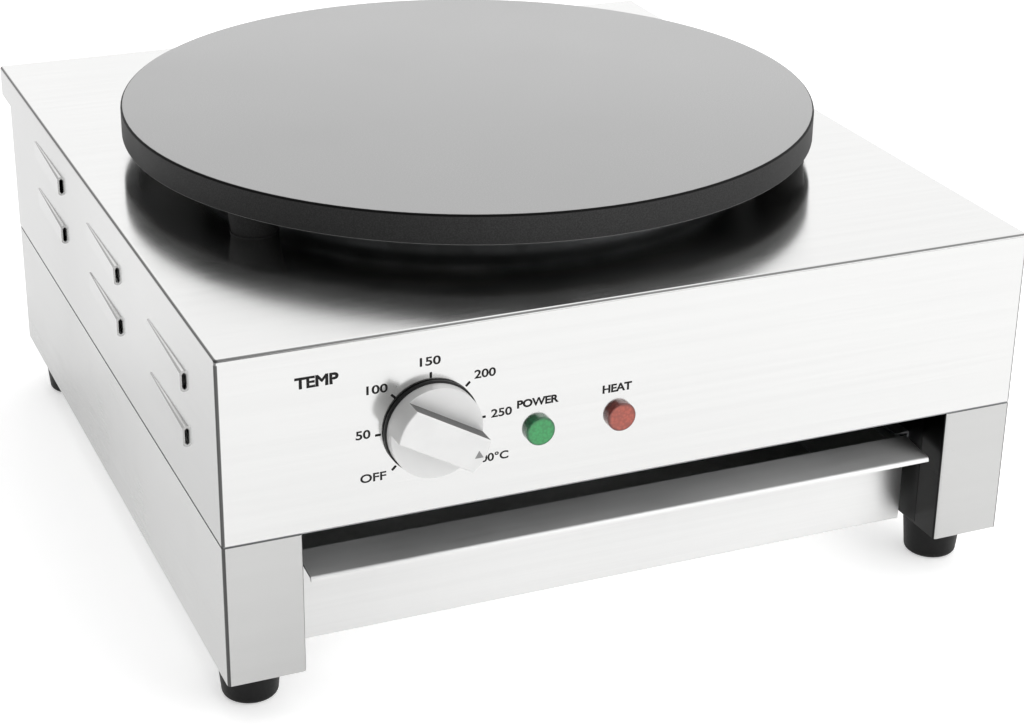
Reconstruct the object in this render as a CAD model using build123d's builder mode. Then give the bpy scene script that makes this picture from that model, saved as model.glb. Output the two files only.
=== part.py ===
from build123d import *

import os
from math import asin, cos, degrees, radians, sin

# Electric crepe maker with one round cast-iron plate and a drawer under it.
# Millimetres, +Z up, the front faces -Y. The origin is under the middle of the
# whole object's box, at the height that the rubber feet stand on.

os.makedirs("parts", exist_ok=True)

# ---------------------------------------------------------------------------
# Driving dimensions
# ---------------------------------------------------------------------------

# Body
BODY_WIDTH = 450.0
BODY_DEPTH = 463.0  # front face to main back face
LIP_DEPTH = 27.0  # rear lip, beyond the main back face
LIP_HEIGHT = 19.0
FOOT_HEIGHT = 26.0
FRAME_HEIGHT = 77.8  # side frames, from their underside to the chassis floor
CASING_HEIGHT = 99.0
SHEET = 1.2  # stainless sheet of body, frames and drawer
BEND_RADIUS = 2.0
SHADOW_GAP = 1.0  # how far the chassis floor's edge stays inside the walls
FLANGE = 14.0

# Side louvres: shallow flat-topped ridges pressed outwards, open at their front end
LOUVRE_HEIGHT = 11.6
LOUVRE_LENGTH = 71.0  # from the mouth to the rounded rear end
LOUVRE_CREST_FRONT = 2.2  # how far a ridge stands out at its mouth
LOUVRE_CREST_REAR = 0.5
LOUVRE_END_RADIUS = 7.5
LOUVRE_WALL = 1.0
LOUVRE_FLANK = 0.25  # how far a flank leans in, as a share of its own depth
LOUVRE_SHOULDER = 0.55  # share of the crest at which the flank turns into the top
LOUVRE_CHAMFER = 0.6  # how far the flat top is drawn in on each side, as a share of the crest
LOUVRE_PITCH = 132.0
LOUVRE_COLUMNS = 3
LOUVRE_ROWS = 2
LOUVRE_FIRST = 56.0  # front face to the first louvre's mouth
LOUVRE_TOP_DROP = 29.5  # top panel to the upper row, in the middle column
LOUVRE_ROW_GAP = 30.2
LOUVRE_RISE = 5.4  # each column sits this much higher than the one before it

# Side frames and drawer bay
LEG_WIDTH = 41.0
LEG_RETURN = 20.0
FRAME_SLOT = 11.0  # opening along the frame's top, for reaching the screws
PANEL_JOINT = 0.5

# Drawer
DRAWER_SIDE_GAP = 5.0
DRAWER_SETBACK = 30.0
DRAWER_DROP = 1.0  # underside of the drawer below the side frames
FINGER_GAP = 26.5
PULL_REACH = 25.0
PULL_SLOPE = 2.6
PULL_LIP = 2.4
DRAWER_HEM = 9.0
TRAY_BACK_GAP = 63.8  # tray's end to the main back face
TRAY_SHEET = 1.0
TRAY_INSET = 5.5  # tray's side wall inside the drawer front's end
TRAY_FLANGE = 8.0
TRAY_FLANGE_DROP = 5.0  # flange's top below the drawer front's top
TRAY_SEAT = 0.1  # tray's floor above the front's hem
SLIDE_CLEARANCE = 0.3
RUNNER_SHEET = 1.0
RUNNER_SHELF = 9.0
RUNNER_MOUTH = 5.0
RUNNER_BACK_GAP = 40.8
RUNNER_START = 3.0  # behind the drawer front's rear face

# Cooking plate
PLATE_DIAMETER = 400.0
PLATE_BACK_OFFSET = 220.0  # main back face to the plate's axis
PLATE_RIM = 16.5
PLATE_GAP = 14.5  # top panel to the rim's underside
PLATE_THICKNESS = 9.0
PLATE_SKIRT = 8.0
PLATE_EDGE = 1.5
LEG_BOSS_COUNT = 3
LEG_BOSS_RADIUS_TOP = 15.5
LEG_BOSS_RADIUS_FOOT = 12.5
LEG_BOSS_CIRCLE = 183.0
LEG_BOSS_ANGLE = 90.0
LEG_GASKET = 1.0
LEG_GASKET_RIM = 0.6  # gasket's edge beyond the boss
PLATE_SCREW_RADIUS = 4.0
PLATE_SCREW_LENGTH = 22.0
PLATE_SCREW_HEAD_RADIUS = 6.5
PLATE_SCREW_HEAD = 5.3
PLATE_WASHER_RADIUS = 8.5
PLATE_WASHER = 1.6
CHANNEL_WIDTH = 34.0
CHANNEL_DEPTH = 15.0
CHANNEL_SHEET = 1.5

# Heating
ELEMENT_RADIUS = 4.0
OUTER_RING = 150.0
INNER_RING = 85.0
ELEMENT_ELBOW = 16.0
OUTER_LEAD_ANGLE = 13.0
INNER_LEAD_ANGLE = 38.0
LEAD_CIRCLE = 40.0
LEAD_BEND = 9.0
LEAD_DROP = 26.0
PIN_RADIUS = 1.6
PIN_LENGTH = 9.0
CLAMP_SHEET = 1.5
CLAMP_RADIUS = 161.0
CLAMP_BORE = 62.0
CLAMP_STUD_CIRCLE = 118.0
CLAMP_STUD_COUNT = 4
CLAMP_STUD_RADIUS = 3.0
CLAMP_BOSS_RADIUS = 8.0
CLAMP_NUT_FLATS = 10.0
CLAMP_NUT = 5.0
SHIELD_SHEET = 0.8
SHIELD_RADIUS = 158.0
SHIELD_RIM = 7.0
INSULATION = 5.5
INSULATION_GAP = 1.0
WIRING_BORE = 58.0
CUTOUT_RADIUS = 8.0
CUTOUT_HEIGHT = 10.0
CUTOUT_FROM_AXIS = 19.0
CUTOUT_EDGE = 1.0

# Dial
KNOB_FROM_LEFT = 107.8
KNOB_BELOW_TOP = 53.0
KNOB_PROJECTION = 20.0
KNOB_BASE_RADIUS = 25.0
KNOB_BASE = 4.4
KNOB_FLANGE = 2.0  # the part of the base's thickness that shows as a ring
KNOB_SPIGOT_RADIUS = 22.0
KNOB_SPIGOT_PLAY = 0.3
KNOB_BASE_GAP = 0.6
KNOB_RECESS_RADIUS = 20.0
KNOB_RECESS = 2.6
KNOB_CAP_RADIUS = 24.0
KNOB_SHOULDER = 6.4
KNOB_BAR_WIDTH = 18.5
KNOB_EDGE = 0.8
KNOB_POINTER_TURN = 120.0  # clockwise from straight up, as seen from the front
SHAFT_RADIUS = 3.0
SHAFT_FLAT = 2.2  # from the shaft's axis to its flat
SHAFT_PLAY = 0.05
SHAFT_COVER = 5.0  # knob left standing in front of the shaft's end
SHAFT_DEPTH = 16.0

# Thermostat
THERMOSTAT_WIDTH = 46.0
THERMOSTAT_HEIGHT = 38.0
THERMOSTAT_DEPTH = 30.0
BUSH_RADIUS = 5.0
BUSH_REACH = 1.6
THERMOSTAT_SCREW_SPACING = 28.0
CAPILLARY_RADIUS = 1.1
BULB_RADIUS = 3.0
BULB_LENGTH = 34.0

# Lamps
GREEN_LAMP_FROM_LEFT = 165.5
RED_LAMP_FROM_LEFT = 210.3
LAMP_BELOW_TOP = 65.0
LENS_RADIUS = 7.8
LENS_HEIGHT = 3.6
LENS_EDGE = 0.9
LAMP_BARREL_RADIUS = 6.3
LAMP_BARREL_LENGTH = 24.0
LAMP_NUT_FLATS = 17.0
LAMP_NUT = 3.0
BLADE_WIDTH = 4.0
BLADE_THICKNESS = 0.8
BLADE_LENGTH = 8.0
LAMP_BLADE_SPACING = 6.0

# Supply end
GLAND_FROM_SIDE = 85.0
GLAND_HEIGHT = 136.0
GLAND_THREAD_RADIUS = 10.0
GLAND_BORE_RADIUS = 5.2
GLAND_FLATS = 24.0
GLAND_HEX = 5.0
GLAND_LOCKNUT = 5.0
GLAND_INSIDE = 9.0
GLAND_NECK = 6.0
GLAND_NECK_RADIUS = 8.6
GLAND_CAP = 13.0
GLAND_CAP_RADIUS = 11.0
GLAND_CAP_END_RADIUS = 7.6
STUD_FROM_SIDE = 35.0
STUD_HEIGHT = 126.0
STUD_RADIUS = 3.0
STUD_OUTSIDE = 20.0
STUD_INSIDE = 12.0
STUD_EDGE = 0.5
STUD_NUT_FLATS = 10.0
STUD_NUT = 5.0
STUD_WASHER_RADIUS = 6.2
STUD_WASHER = 1.2
TERMINAL_FROM_SIDE = 97.0
TERMINAL_FROM_BACK = 62.0
TERMINAL_WIDTH = 54.0
TERMINAL_DEPTH = 24.0
TERMINAL_HEIGHT = 20.0
TERMINAL_POLES = 3
TERMINAL_PITCH = 16.0
TERMINAL_BORE = 2.4
WIRE_RADIUS = 1.5

# Fasteners
HOLE_PLAY = 0.2  # on the radius of every clearance hole
HEAD_ROUNDING = 0.4  # of a pan head's height
RECESS_SPAN = 1.1  # cross recess, of the head's radius
RECESS_WIDTH = 0.2  # of the head's radius
RECESS_DEPTH = 0.45  # of the head's height
M4_RADIUS = 2.0
M4_HEAD_RADIUS = 3.8
M4_HEAD = 2.4
M4_NUT_FLATS = 7.0
M4_NUT = 3.0
REAR_SCREW_LENGTH = 7.0
CASING_SCREW_LENGTH = 9.0
CASING_SCREW_SHARES = (0.12, 0.5, 0.88)  # of the body's depth
THERMOSTAT_SCREW_LENGTH = 6.0
THERMOSTAT_HEAD_RADIUS = 3.5
THERMOSTAT_HEAD = 1.9
FOOT_SCREW_RADIUS = 2.5
FOOT_SCREW_LENGTH = 22.0
FOOT_SCREW_HEAD_RADIUS = 4.6
FOOT_SCREW_HEAD = 3.2
FOOT_WASHER_RADIUS = 6.0
FOOT_WASHER = 1.0
FOOT_NUT_FLATS = 8.0
FOOT_NUT = 4.0
RIVET_RADIUS = 1.6
RIVET_HEAD_RADIUS = 3.2
RIVET_HEAD = 1.0
RIVET_SHARES = (0.06, 0.5, 0.94)  # of the runner's length

# Feet
FOOT_TOP_RADIUS = 17.0
FOOT_BOTTOM_RADIUS = 14.5
FOOT_EDGE = 3.0
FOOT_RECESS_RADIUS = 7.5
FOOT_RECESS = 13.0
FOOT_FROM_SIDE = 20.5
FOOT_FROM_FRONT = 33.0

# Vents
VENT_LENGTH = 46.0
VENT_WIDTH = 5.0
VENT_PITCH = 14.0
REAR_VENT_ROWS = 3
REAR_VENT_COLUMNS = 3
REAR_VENT_SPREAD = 62.0
FLOOR_VENT_COUNT = 6

# ---------------------------------------------------------------------------
# Places worked out from the dimensions
# ---------------------------------------------------------------------------

HALF_WIDTH = BODY_WIDTH / 2
FRONT_Y = -(BODY_DEPTH + LIP_DEPTH - KNOB_PROJECTION) / 2
BACK_Y = FRONT_Y + BODY_DEPTH
LIP_BACK_Y = BACK_Y + LIP_DEPTH
INNER_FRONT_Y = FRONT_Y + SHEET

FRAME_Z = FOOT_HEIGHT
FLOOR_Z = FRAME_Z + FRAME_HEIGHT
SEAM_Z = FLOOR_Z + SHEET
TOP_Z = SEAM_Z + CASING_HEIGHT
TOP_INNER_Z = TOP_Z - SHEET
LIP_BOTTOM_Z = TOP_Z - LIP_HEIGHT

BAY_HALF = HALF_WIDTH - LEG_WIDTH
DRAWER_HALF = BAY_HALF - DRAWER_SIDE_GAP
DRAWER_Y = FRONT_Y + DRAWER_SETBACK
DRAWER_BACK_Y = DRAWER_Y + SHEET
DRAWER_Z = FRAME_Z - DRAWER_DROP
DRAWER_TOP_Z = SEAM_Z - FINGER_GAP
TRAY_HALF = DRAWER_HALF - TRAY_INSET
TRAY_LENGTH = BACK_Y - TRAY_BACK_GAP - DRAWER_BACK_Y
TRAY_TOP_Z = DRAWER_TOP_Z - TRAY_FLANGE_DROP
SHELF_TOP_Z = TRAY_TOP_Z - SHEET - SLIDE_CLEARANCE

PLATE_Y = BACK_Y - PLATE_BACK_OFFSET
RIM_Z = TOP_Z + PLATE_GAP
PLATE_Z = RIM_Z + PLATE_RIM
PLATE_UNDER_Z = PLATE_Z - PLATE_THICKNESS
ELEMENT_Z = PLATE_UNDER_Z - ELEMENT_RADIUS
CLAMP_Z = ELEMENT_Z - ELEMENT_RADIUS - CLAMP_SHEET
LEG_BOSS_STEP = 360 / LEG_BOSS_COUNT
CHANNEL_Z = TOP_INNER_Z - CHANNEL_DEPTH

KNOB_X = KNOB_FROM_LEFT - HALF_WIDTH
KNOB_Z = TOP_Z - KNOB_BELOW_TOP
KNOB_BACK_Y = FRONT_Y - KNOB_BASE_GAP
CAP_BACK_Y = KNOB_BACK_Y - KNOB_FLANGE
KNOB_FRONT_Y = FRONT_Y - KNOB_PROJECTION
THERMOSTAT_BACK_Y = INNER_FRONT_Y + THERMOSTAT_DEPTH

LAMP_Z = TOP_Z - LAMP_BELOW_TOP
LAMP_XS = (GREEN_LAMP_FROM_LEFT - HALF_WIDTH, RED_LAMP_FROM_LEFT - HALF_WIDTH)
LAMP_TAIL_Y = FRONT_Y + LAMP_BARREL_LENGTH

PANEL_BACK_Y = BACK_Y + SHEET
GLAND_X = HALF_WIDTH - GLAND_FROM_SIDE
STUD_X = HALF_WIDTH - STUD_FROM_SIDE
TERMINAL_X = HALF_WIDTH - TERMINAL_FROM_SIDE
TERMINAL_Y = BACK_Y - TERMINAL_FROM_BACK

LEFT = -1
RIGHT = 1


def facing_front(x, y, z):
    """Plane at a point whose normal points to the front, with X to the right."""
    return Plane(origin=(x, y, z), x_dir=(1, 0, 0), z_dir=(0, -1, 0))


def facing_back(x, y, z):
    """Plane at a point whose normal points to the back."""
    return Plane(origin=(x, y, z), x_dir=(-1, 0, 0), z_dir=(0, 1, 0))


def facing_down(x, y, z):
    """Plane at a point whose normal points down."""
    return Plane(origin=(x, y, z), z_dir=(0, 0, -1))


def on_circle(radius, angle, centre=(0.0, 0.0)):
    """Point on a circle, with the angle in degrees from +X."""
    turn = radians(angle)
    return (centre[0] + radius * cos(turn), centre[1] + radius * sin(turn))


def plate_circle(radius, angle):
    """Point on a circle about the cooking plate's axis."""
    return on_circle(radius, angle, (0.0, PLATE_Y))


LEG_BOSS_PLACES = [
    plate_circle(LEG_BOSS_CIRCLE, LEG_BOSS_ANGLE + i * LEG_BOSS_STEP) for i in range(LEG_BOSS_COUNT)
]
CLAMP_STUD_PLACES = [
    plate_circle(CLAMP_STUD_CIRCLE, 45 + i * 360 / CLAMP_STUD_COUNT) for i in range(CLAMP_STUD_COUNT)
]
CHANNEL_YS = sorted({round(y, 6) for x, y in LEG_BOSS_PLACES})
FOOT_PLACES = [
    (side * (HALF_WIDTH - FOOT_FROM_SIDE), y)
    for side in (LEFT, RIGHT)
    for y in (FRONT_Y + FOOT_FROM_FRONT, BACK_Y - FOOT_FROM_FRONT)
]
CASING_SCREW_X = HALF_WIDTH - SHEET - FLANGE / 2
CASING_SCREW_PLACES = [
    (side * CASING_SCREW_X, FRONT_Y + BODY_DEPTH * share)
    for side in (LEFT, RIGHT)
    for share in CASING_SCREW_SHARES
]
REAR_SCREW_X = HALF_WIDTH - SHEET - FLANGE / 2
REAR_SCREW_UPPER_Z = (LIP_BOTTOM_Z - FLANGE / 2, SEAM_Z + FLANGE)
REAR_SCREW_LOWER_Z = (FLOOR_Z - FLANGE, FRAME_Z + FLANGE)
THERMOSTAT_SCREW_XS = (
    KNOB_X - THERMOSTAT_SCREW_SPACING / 2,
    KNOB_X + THERMOSTAT_SCREW_SPACING / 2,
)


def pan_screw(radius, length, head_radius, head_height):
    """Pan-head screw: the shank runs down from the origin and the head stands on it."""
    with BuildPart() as screw:
        Cylinder(radius, length, align=(Align.CENTER, Align.CENTER, Align.MAX))
        Cylinder(head_radius, head_height, align=(Align.CENTER, Align.CENTER, Align.MIN))
        fillet(screw.edges().sort_by(Axis.Z)[-1], head_height * HEAD_ROUNDING)
        with BuildSketch(Plane.XY.offset(head_height)):
            Rectangle(head_radius * RECESS_SPAN, head_radius * RECESS_WIDTH)
            Rectangle(head_radius * RECESS_WIDTH, head_radius * RECESS_SPAN)
        extrude(amount=-head_height * RECESS_DEPTH, mode=Mode.SUBTRACT)
    return screw.part


def hex_nut(flats, height, bore_radius):
    """Hexagon nut standing on the origin."""
    with BuildPart() as nut:
        with BuildSketch():
            RegularPolygon(flats / 2, 6, major_radius=False)
            Circle(bore_radius, mode=Mode.SUBTRACT)
        extrude(amount=height)
    return nut.part


def washer(outer_radius, height, bore_radius):
    """Flat washer standing on the origin."""
    with BuildPart() as ring:
        with BuildSketch():
            Circle(outer_radius)
            Circle(bore_radius, mode=Mode.SUBTRACT)
        extrude(amount=height)
    return ring.part


def louvre(side, inset, root):
    """One louvre of one side, its mouth at the origin and its surface moved inwards by the inset.

    The solid reaches inwards as far as the root, measured from the wall's outer face.
    """
    half_height = LOUVRE_HEIGHT / 2 - inset
    with BuildPart() as ridge:
        for place, crest in ((0, LOUVRE_CREST_FRONT), (LOUVRE_LENGTH, LOUVRE_CREST_REAR)):
            shoulder = LOUVRE_SHOULDER * crest
            shoulder_height = half_height - LOUVRE_FLANK * shoulder
            top_height = half_height - LOUVRE_CHAMFER * crest
            with BuildSketch(Plane(origin=(0, place, 0), x_dir=(side, 0, 0), z_dir=(0, -side, 0))):
                with BuildLine():
                    Polyline(
                        (-root, -half_height),
                        (-inset, -half_height),
                        (shoulder - inset, -shoulder_height),
                        (crest - inset, -top_height),
                        (crest - inset, top_height),
                        (shoulder - inset, shoulder_height),
                        (-inset, half_height),
                        (-root, half_height),
                        close=True,
                    )
                make_face()
        loft(ruled=True)
        with BuildSketch(Plane.YZ):
            with Locations((LOUVRE_LENGTH / 2 - LOUVRE_END_RADIUS, 0)):
                Rectangle(LOUVRE_LENGTH, 2 * LOUVRE_END_RADIUS)
            with Locations((LOUVRE_LENGTH - LOUVRE_END_RADIUS, 0)):
                Circle(LOUVRE_END_RADIUS - inset)
        extrude(amount=root + LOUVRE_CREST_FRONT, both=True, mode=Mode.INTERSECT)
    return ridge.part


# ---------------------------------------------------------------------------
# Upper casing: top panel, front and sides folded from sheet, with the rear lip
# ---------------------------------------------------------------------------

LOUVRE_PLACES = [
    (
        FRONT_Y + LOUVRE_FIRST + column * LOUVRE_PITCH,
        TOP_Z - LOUVRE_TOP_DROP - row * LOUVRE_ROW_GAP + (column - 1) * LOUVRE_RISE,
    )
    for column in range(LOUVRE_COLUMNS)
    for row in range(LOUVRE_ROWS)
]

with BuildPart() as upper_casing:
    with BuildSketch(Plane.YZ.offset(-HALF_WIDTH)):
        with BuildLine():
            Polyline(
                (FRONT_Y, SEAM_Z),
                (FRONT_Y, TOP_Z),
                (LIP_BACK_Y, TOP_Z),
                (LIP_BACK_Y, LIP_BOTTOM_Z),
                (BACK_Y, LIP_BOTTOM_Z),
                (BACK_Y, SEAM_Z),
                close=True,
            )
        make_face()
    extrude(amount=BODY_WIDTH)
    top_edges = upper_casing.faces().sort_by(Axis.Z)[-1].edges()
    corner_edges = upper_casing.faces().sort_by(Axis.Y)[0].edges().filter_by(Axis.Z)
    lip_edges = upper_casing.faces().sort_by(Axis.Y)[-1].edges().filter_by(Axis.Z)
    fillet(top_edges + corner_edges + lip_edges, BEND_RADIUS)
    with BuildSketch(Plane.YZ.offset(-HALF_WIDTH + SHEET)):
        with BuildLine():
            Polyline(
                (INNER_FRONT_Y, SEAM_Z),
                (INNER_FRONT_Y, TOP_INNER_Z),
                (LIP_BACK_Y - SHEET, TOP_INNER_Z),
                (LIP_BACK_Y - SHEET, LIP_BOTTOM_Z + SHEET),
                (BACK_Y, LIP_BOTTOM_Z + SHEET),
                (BACK_Y, SEAM_Z),
                close=True,
            )
        make_face()
    extrude(amount=BODY_WIDTH - 2 * SHEET, mode=Mode.SUBTRACT)
    # inward flanges: along the sides and the front at the seam, and up the rear edges
    with BuildSketch(Plane.XY.offset(SEAM_Z)):
        with Locations((0, (FRONT_Y + BACK_Y) / 2)):
            Rectangle(BODY_WIDTH - 2 * SHEET, BODY_DEPTH - 2 * SHEET)
        with Locations((0, (FRONT_Y + BACK_Y) / 2 + FLANGE / 2)):
            Rectangle(BODY_WIDTH - 2 * (SHEET + FLANGE), BODY_DEPTH - FLANGE, mode=Mode.SUBTRACT)
    extrude(amount=SHEET)
    with BuildSketch(Plane.XY.offset(SEAM_Z)):
        for side in (LEFT, RIGHT):
            with Locations((side * (HALF_WIDTH - (SHEET + FLANGE) / 2), BACK_Y - SHEET / 2)):
                Rectangle(SHEET + FLANGE, SHEET)
    extrude(amount=LIP_BOTTOM_Z + SHEET - SEAM_Z)
    # louvres: each ridge stands outside its wall and is hollow behind, open at its mouth
    for side in (LEFT, RIGHT):
        with Locations(*[(side * HALF_WIDTH, y, z) for y, z in LOUVRE_PLACES]):
            add(louvre(side, 0, SHEET / 2))
            add(louvre(side, LOUVRE_WALL, 2 * SHEET), mode=Mode.SUBTRACT)
    # dial and lamp holes in the front
    with BuildSketch(facing_front(0, FRONT_Y, 0)):
        with Locations((KNOB_X, KNOB_Z)):
            Circle(BUSH_RADIUS + HOLE_PLAY)
        with Locations(*[(x, KNOB_Z) for x in THERMOSTAT_SCREW_XS]):
            Circle(M4_RADIUS + HOLE_PLAY)
        with Locations(*[(x, LAMP_Z) for x in LAMP_XS]):
            Circle(LAMP_BARREL_RADIUS + HOLE_PLAY)
    extrude(amount=-SHEET, mode=Mode.SUBTRACT)
    # wiring bore and plate screw holes in the top
    with BuildSketch(Plane.XY.offset(TOP_Z)):
        with Locations((0, PLATE_Y)):
            Circle(WIRING_BORE)
        with Locations(*LEG_BOSS_PLACES):
            Circle(PLATE_SCREW_RADIUS + HOLE_PLAY)
    extrude(amount=-SHEET, mode=Mode.SUBTRACT)
    # screw holes in the seam flanges and the rear flanges
    with BuildSketch(Plane.XY.offset(SEAM_Z)):
        with Locations(*CASING_SCREW_PLACES):
            Circle(M4_RADIUS + HOLE_PLAY)
    extrude(amount=SHEET, mode=Mode.SUBTRACT)
    with BuildSketch(facing_back(0, BACK_Y, 0)):
        with Locations(*[(s * REAR_SCREW_X, z) for s in (LEFT, RIGHT) for z in REAR_SCREW_UPPER_Z]):
            Circle(M4_RADIUS + HOLE_PLAY)
    extrude(amount=-SHEET, mode=Mode.SUBTRACT)
upper_casing.part.label = "upper_casing"
export_step(upper_casing.part, "parts/upper_casing.step")

# ---------------------------------------------------------------------------
# Chassis floor: closes the casing and roofs the drawer bay
# ---------------------------------------------------------------------------

with BuildPart() as chassis_floor:
    with BuildSketch(Plane.XY.offset(FLOOR_Z)):
        with Locations((0, (FRONT_Y + BACK_Y) / 2)):
            Rectangle(BODY_WIDTH - 2 * SHADOW_GAP, BODY_DEPTH - 2 * SHADOW_GAP)
        with Locations(*CASING_SCREW_PLACES):
            Circle(M4_RADIUS + HOLE_PLAY, mode=Mode.SUBTRACT)
        with Locations((0, PLATE_Y)), GridLocations(VENT_LENGTH + FLANGE, VENT_PITCH, 2, FLOOR_VENT_COUNT):
            SlotOverall(VENT_LENGTH, VENT_WIDTH, mode=Mode.SUBTRACT)
    extrude(amount=SHEET)
chassis_floor.part.label = "chassis_floor"
export_step(chassis_floor.part, "parts/chassis_floor.step")

# ---------------------------------------------------------------------------
# Plate support channels under the top panel
# ---------------------------------------------------------------------------

CHANNEL_BAY = CHANNEL_WIDTH - 2 * CHANNEL_SHEET
for name, channel_y in zip(("front_support_channel", "rear_support_channel"), CHANNEL_YS):
    screw_places = [place for place in LEG_BOSS_PLACES if abs(place[1] - channel_y) < CHANNEL_WIDTH / 2]
    with BuildPart() as channel:
        with BuildSketch(Plane.YZ.offset(-HALF_WIDTH + SHEET)):
            with Locations((channel_y, CHANNEL_Z + CHANNEL_DEPTH / 2)):
                Rectangle(CHANNEL_WIDTH, CHANNEL_DEPTH)
            with Locations((channel_y, CHANNEL_Z + (CHANNEL_DEPTH - CHANNEL_SHEET) / 2)):
                Rectangle(CHANNEL_BAY, CHANNEL_DEPTH - CHANNEL_SHEET, mode=Mode.SUBTRACT)
        extrude(amount=BODY_WIDTH - 2 * SHEET)
        with BuildSketch(Plane.XY.offset(TOP_INNER_Z)):
            with Locations(*screw_places):
                Circle(PLATE_SCREW_RADIUS + HOLE_PLAY)
        extrude(amount=-CHANNEL_SHEET, mode=Mode.SUBTRACT)
    channel.part.label = name
    export_step(channel.part, f"parts/{name}.step")

# ---------------------------------------------------------------------------
# Side frames: a leg at the front, an outer wall, and flanges for floor and feet
# ---------------------------------------------------------------------------

for name, side in (("left_side_frame", LEFT), ("right_side_frame", RIGHT)):
    with BuildPart() as side_frame:
        with BuildSketch(Plane.XY.offset(FRAME_Z)):
            with Locations((side * (HALF_WIDTH - LEG_WIDTH / 2), (FRONT_Y + BACK_Y) / 2)):
                Rectangle(LEG_WIDTH, BODY_DEPTH)
        extrude(amount=FRAME_HEIGHT)
        fillet(side_frame.edges().filter_by(Axis.Z), BEND_RADIUS)
        with BuildSketch(Plane.XY.offset(FRAME_Z + SHEET)):
            with Locations((side * (HALF_WIDTH - LEG_WIDTH / 2), (FRONT_Y + BACK_Y) / 2)):
                Rectangle(LEG_WIDTH - 2 * SHEET, BODY_DEPTH - 2 * SHEET)
        extrude(amount=FRAME_HEIGHT - 2 * SHEET, mode=Mode.SUBTRACT)
        # the inner wall stops at the leg's return; the bay wall takes its place behind it
        with BuildSketch(Plane.XY.offset(FRAME_Z + SHEET)):
            with Locations((side * (BAY_HALF + SHEET / 2), (FRONT_Y + BACK_Y) / 2)):
                Rectangle(SHEET, BODY_DEPTH - 2 * LEG_RETURN)
        extrude(amount=FRAME_HEIGHT - 2 * SHEET, mode=Mode.SUBTRACT)
        with BuildSketch(Plane.XY.offset(FLOOR_Z)):
            with Locations((side * (HALF_WIDTH - LEG_WIDTH / 2), (FRONT_Y + BACK_Y) / 2)):
                Rectangle(FRAME_SLOT, BODY_DEPTH - 2 * LEG_RETURN)
            with Locations(*[place for place in CASING_SCREW_PLACES if place[0] * side > 0]):
                Circle(M4_RADIUS + HOLE_PLAY)
        extrude(amount=-SHEET, mode=Mode.SUBTRACT)
        with BuildSketch(Plane.XY.offset(FRAME_Z)):
            with Locations(*[place for place in FOOT_PLACES if place[0] * side > 0]):
                Circle(FOOT_SCREW_RADIUS + HOLE_PLAY)
        extrude(amount=SHEET, mode=Mode.SUBTRACT)
        with BuildSketch(facing_back(0, BACK_Y, 0)):
            with Locations(*[(-side * REAR_SCREW_X, z) for z in REAR_SCREW_LOWER_Z]):
                Circle(M4_RADIUS + HOLE_PLAY)
        extrude(amount=-SHEET, mode=Mode.SUBTRACT)
    side_frame.part.label = name
    export_step(side_frame.part, f"parts/{name}.step")

# ---------------------------------------------------------------------------
# Bay walls and drawer runners
# ---------------------------------------------------------------------------

BAY_WALL_Y = (FRONT_Y + LEG_RETURN + PANEL_JOINT, BACK_Y - LEG_RETURN - PANEL_JOINT)
RUNNER_Y = (DRAWER_BACK_Y + RUNNER_START, BACK_Y - RUNNER_BACK_GAP)
RUNNER_LENGTH = RUNNER_Y[1] - RUNNER_Y[0]
RIVET_Z = SHELF_TOP_Z + RUNNER_MOUTH / 2
RIVET_YS = [RUNNER_Y[0] + RUNNER_LENGTH * share for share in RIVET_SHARES]

for name, side in (("left_bay_wall", LEFT), ("right_bay_wall", RIGHT)):
    with BuildPart() as bay_wall:
        with BuildSketch(Plane.XY.offset(FRAME_Z + SHEET)):
            with Locations((side * (BAY_HALF + SHEET / 2), sum(BAY_WALL_Y) / 2)):
                Rectangle(SHEET, BAY_WALL_Y[1] - BAY_WALL_Y[0])
        extrude(amount=FRAME_HEIGHT - 2 * SHEET)
        with BuildSketch(Plane.YZ.offset(side * BAY_HALF)):
            with Locations(*[(y, RIVET_Z) for y in RIVET_YS]):
                Circle(RIVET_RADIUS)
        extrude(amount=side * SHEET, mode=Mode.SUBTRACT)
    bay_wall.part.label = name
    export_step(bay_wall.part, f"parts/{name}.step")

for name, side in (("left_drawer_runner", LEFT), ("right_drawer_runner", RIGHT)):
    runner_x = side * (BAY_HALF - RUNNER_SHELF / 2)
    with BuildPart() as runner:
        with BuildSketch(facing_front(0, RUNNER_Y[1], 0)):
            with Locations((runner_x, SHELF_TOP_Z + RUNNER_MOUTH / 2)):
                Rectangle(RUNNER_SHELF, RUNNER_MOUTH + 2 * RUNNER_SHEET)
            with Locations((runner_x - side * RUNNER_SHEET, SHELF_TOP_Z + RUNNER_MOUTH / 2)):
                Rectangle(RUNNER_SHELF, RUNNER_MOUTH, mode=Mode.SUBTRACT)
        extrude(amount=RUNNER_LENGTH)
        with BuildSketch(Plane.YZ.offset(side * BAY_HALF)):
            with Locations(*[(y, RIVET_Z) for y in RIVET_YS]):
                Circle(RIVET_RADIUS)
        extrude(amount=-side * RUNNER_SHEET, mode=Mode.SUBTRACT)
    runner.part.label = name
    export_step(runner.part, f"parts/{name}.step")

with BuildPart() as runner_rivet:
    Cylinder(RIVET_RADIUS, SHEET + RUNNER_SHEET, align=(Align.CENTER, Align.CENTER, Align.MAX))
    Cylinder(RIVET_HEAD_RADIUS, RIVET_HEAD, align=(Align.CENTER, Align.CENTER, Align.MIN))
    with Locations((0, 0, -SHEET - RUNNER_SHEET)):
        Cylinder(RIVET_HEAD_RADIUS / 2 + RIVET_RADIUS / 2, RIVET_HEAD / 2,
                 align=(Align.CENTER, Align.CENTER, Align.MAX))

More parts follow.
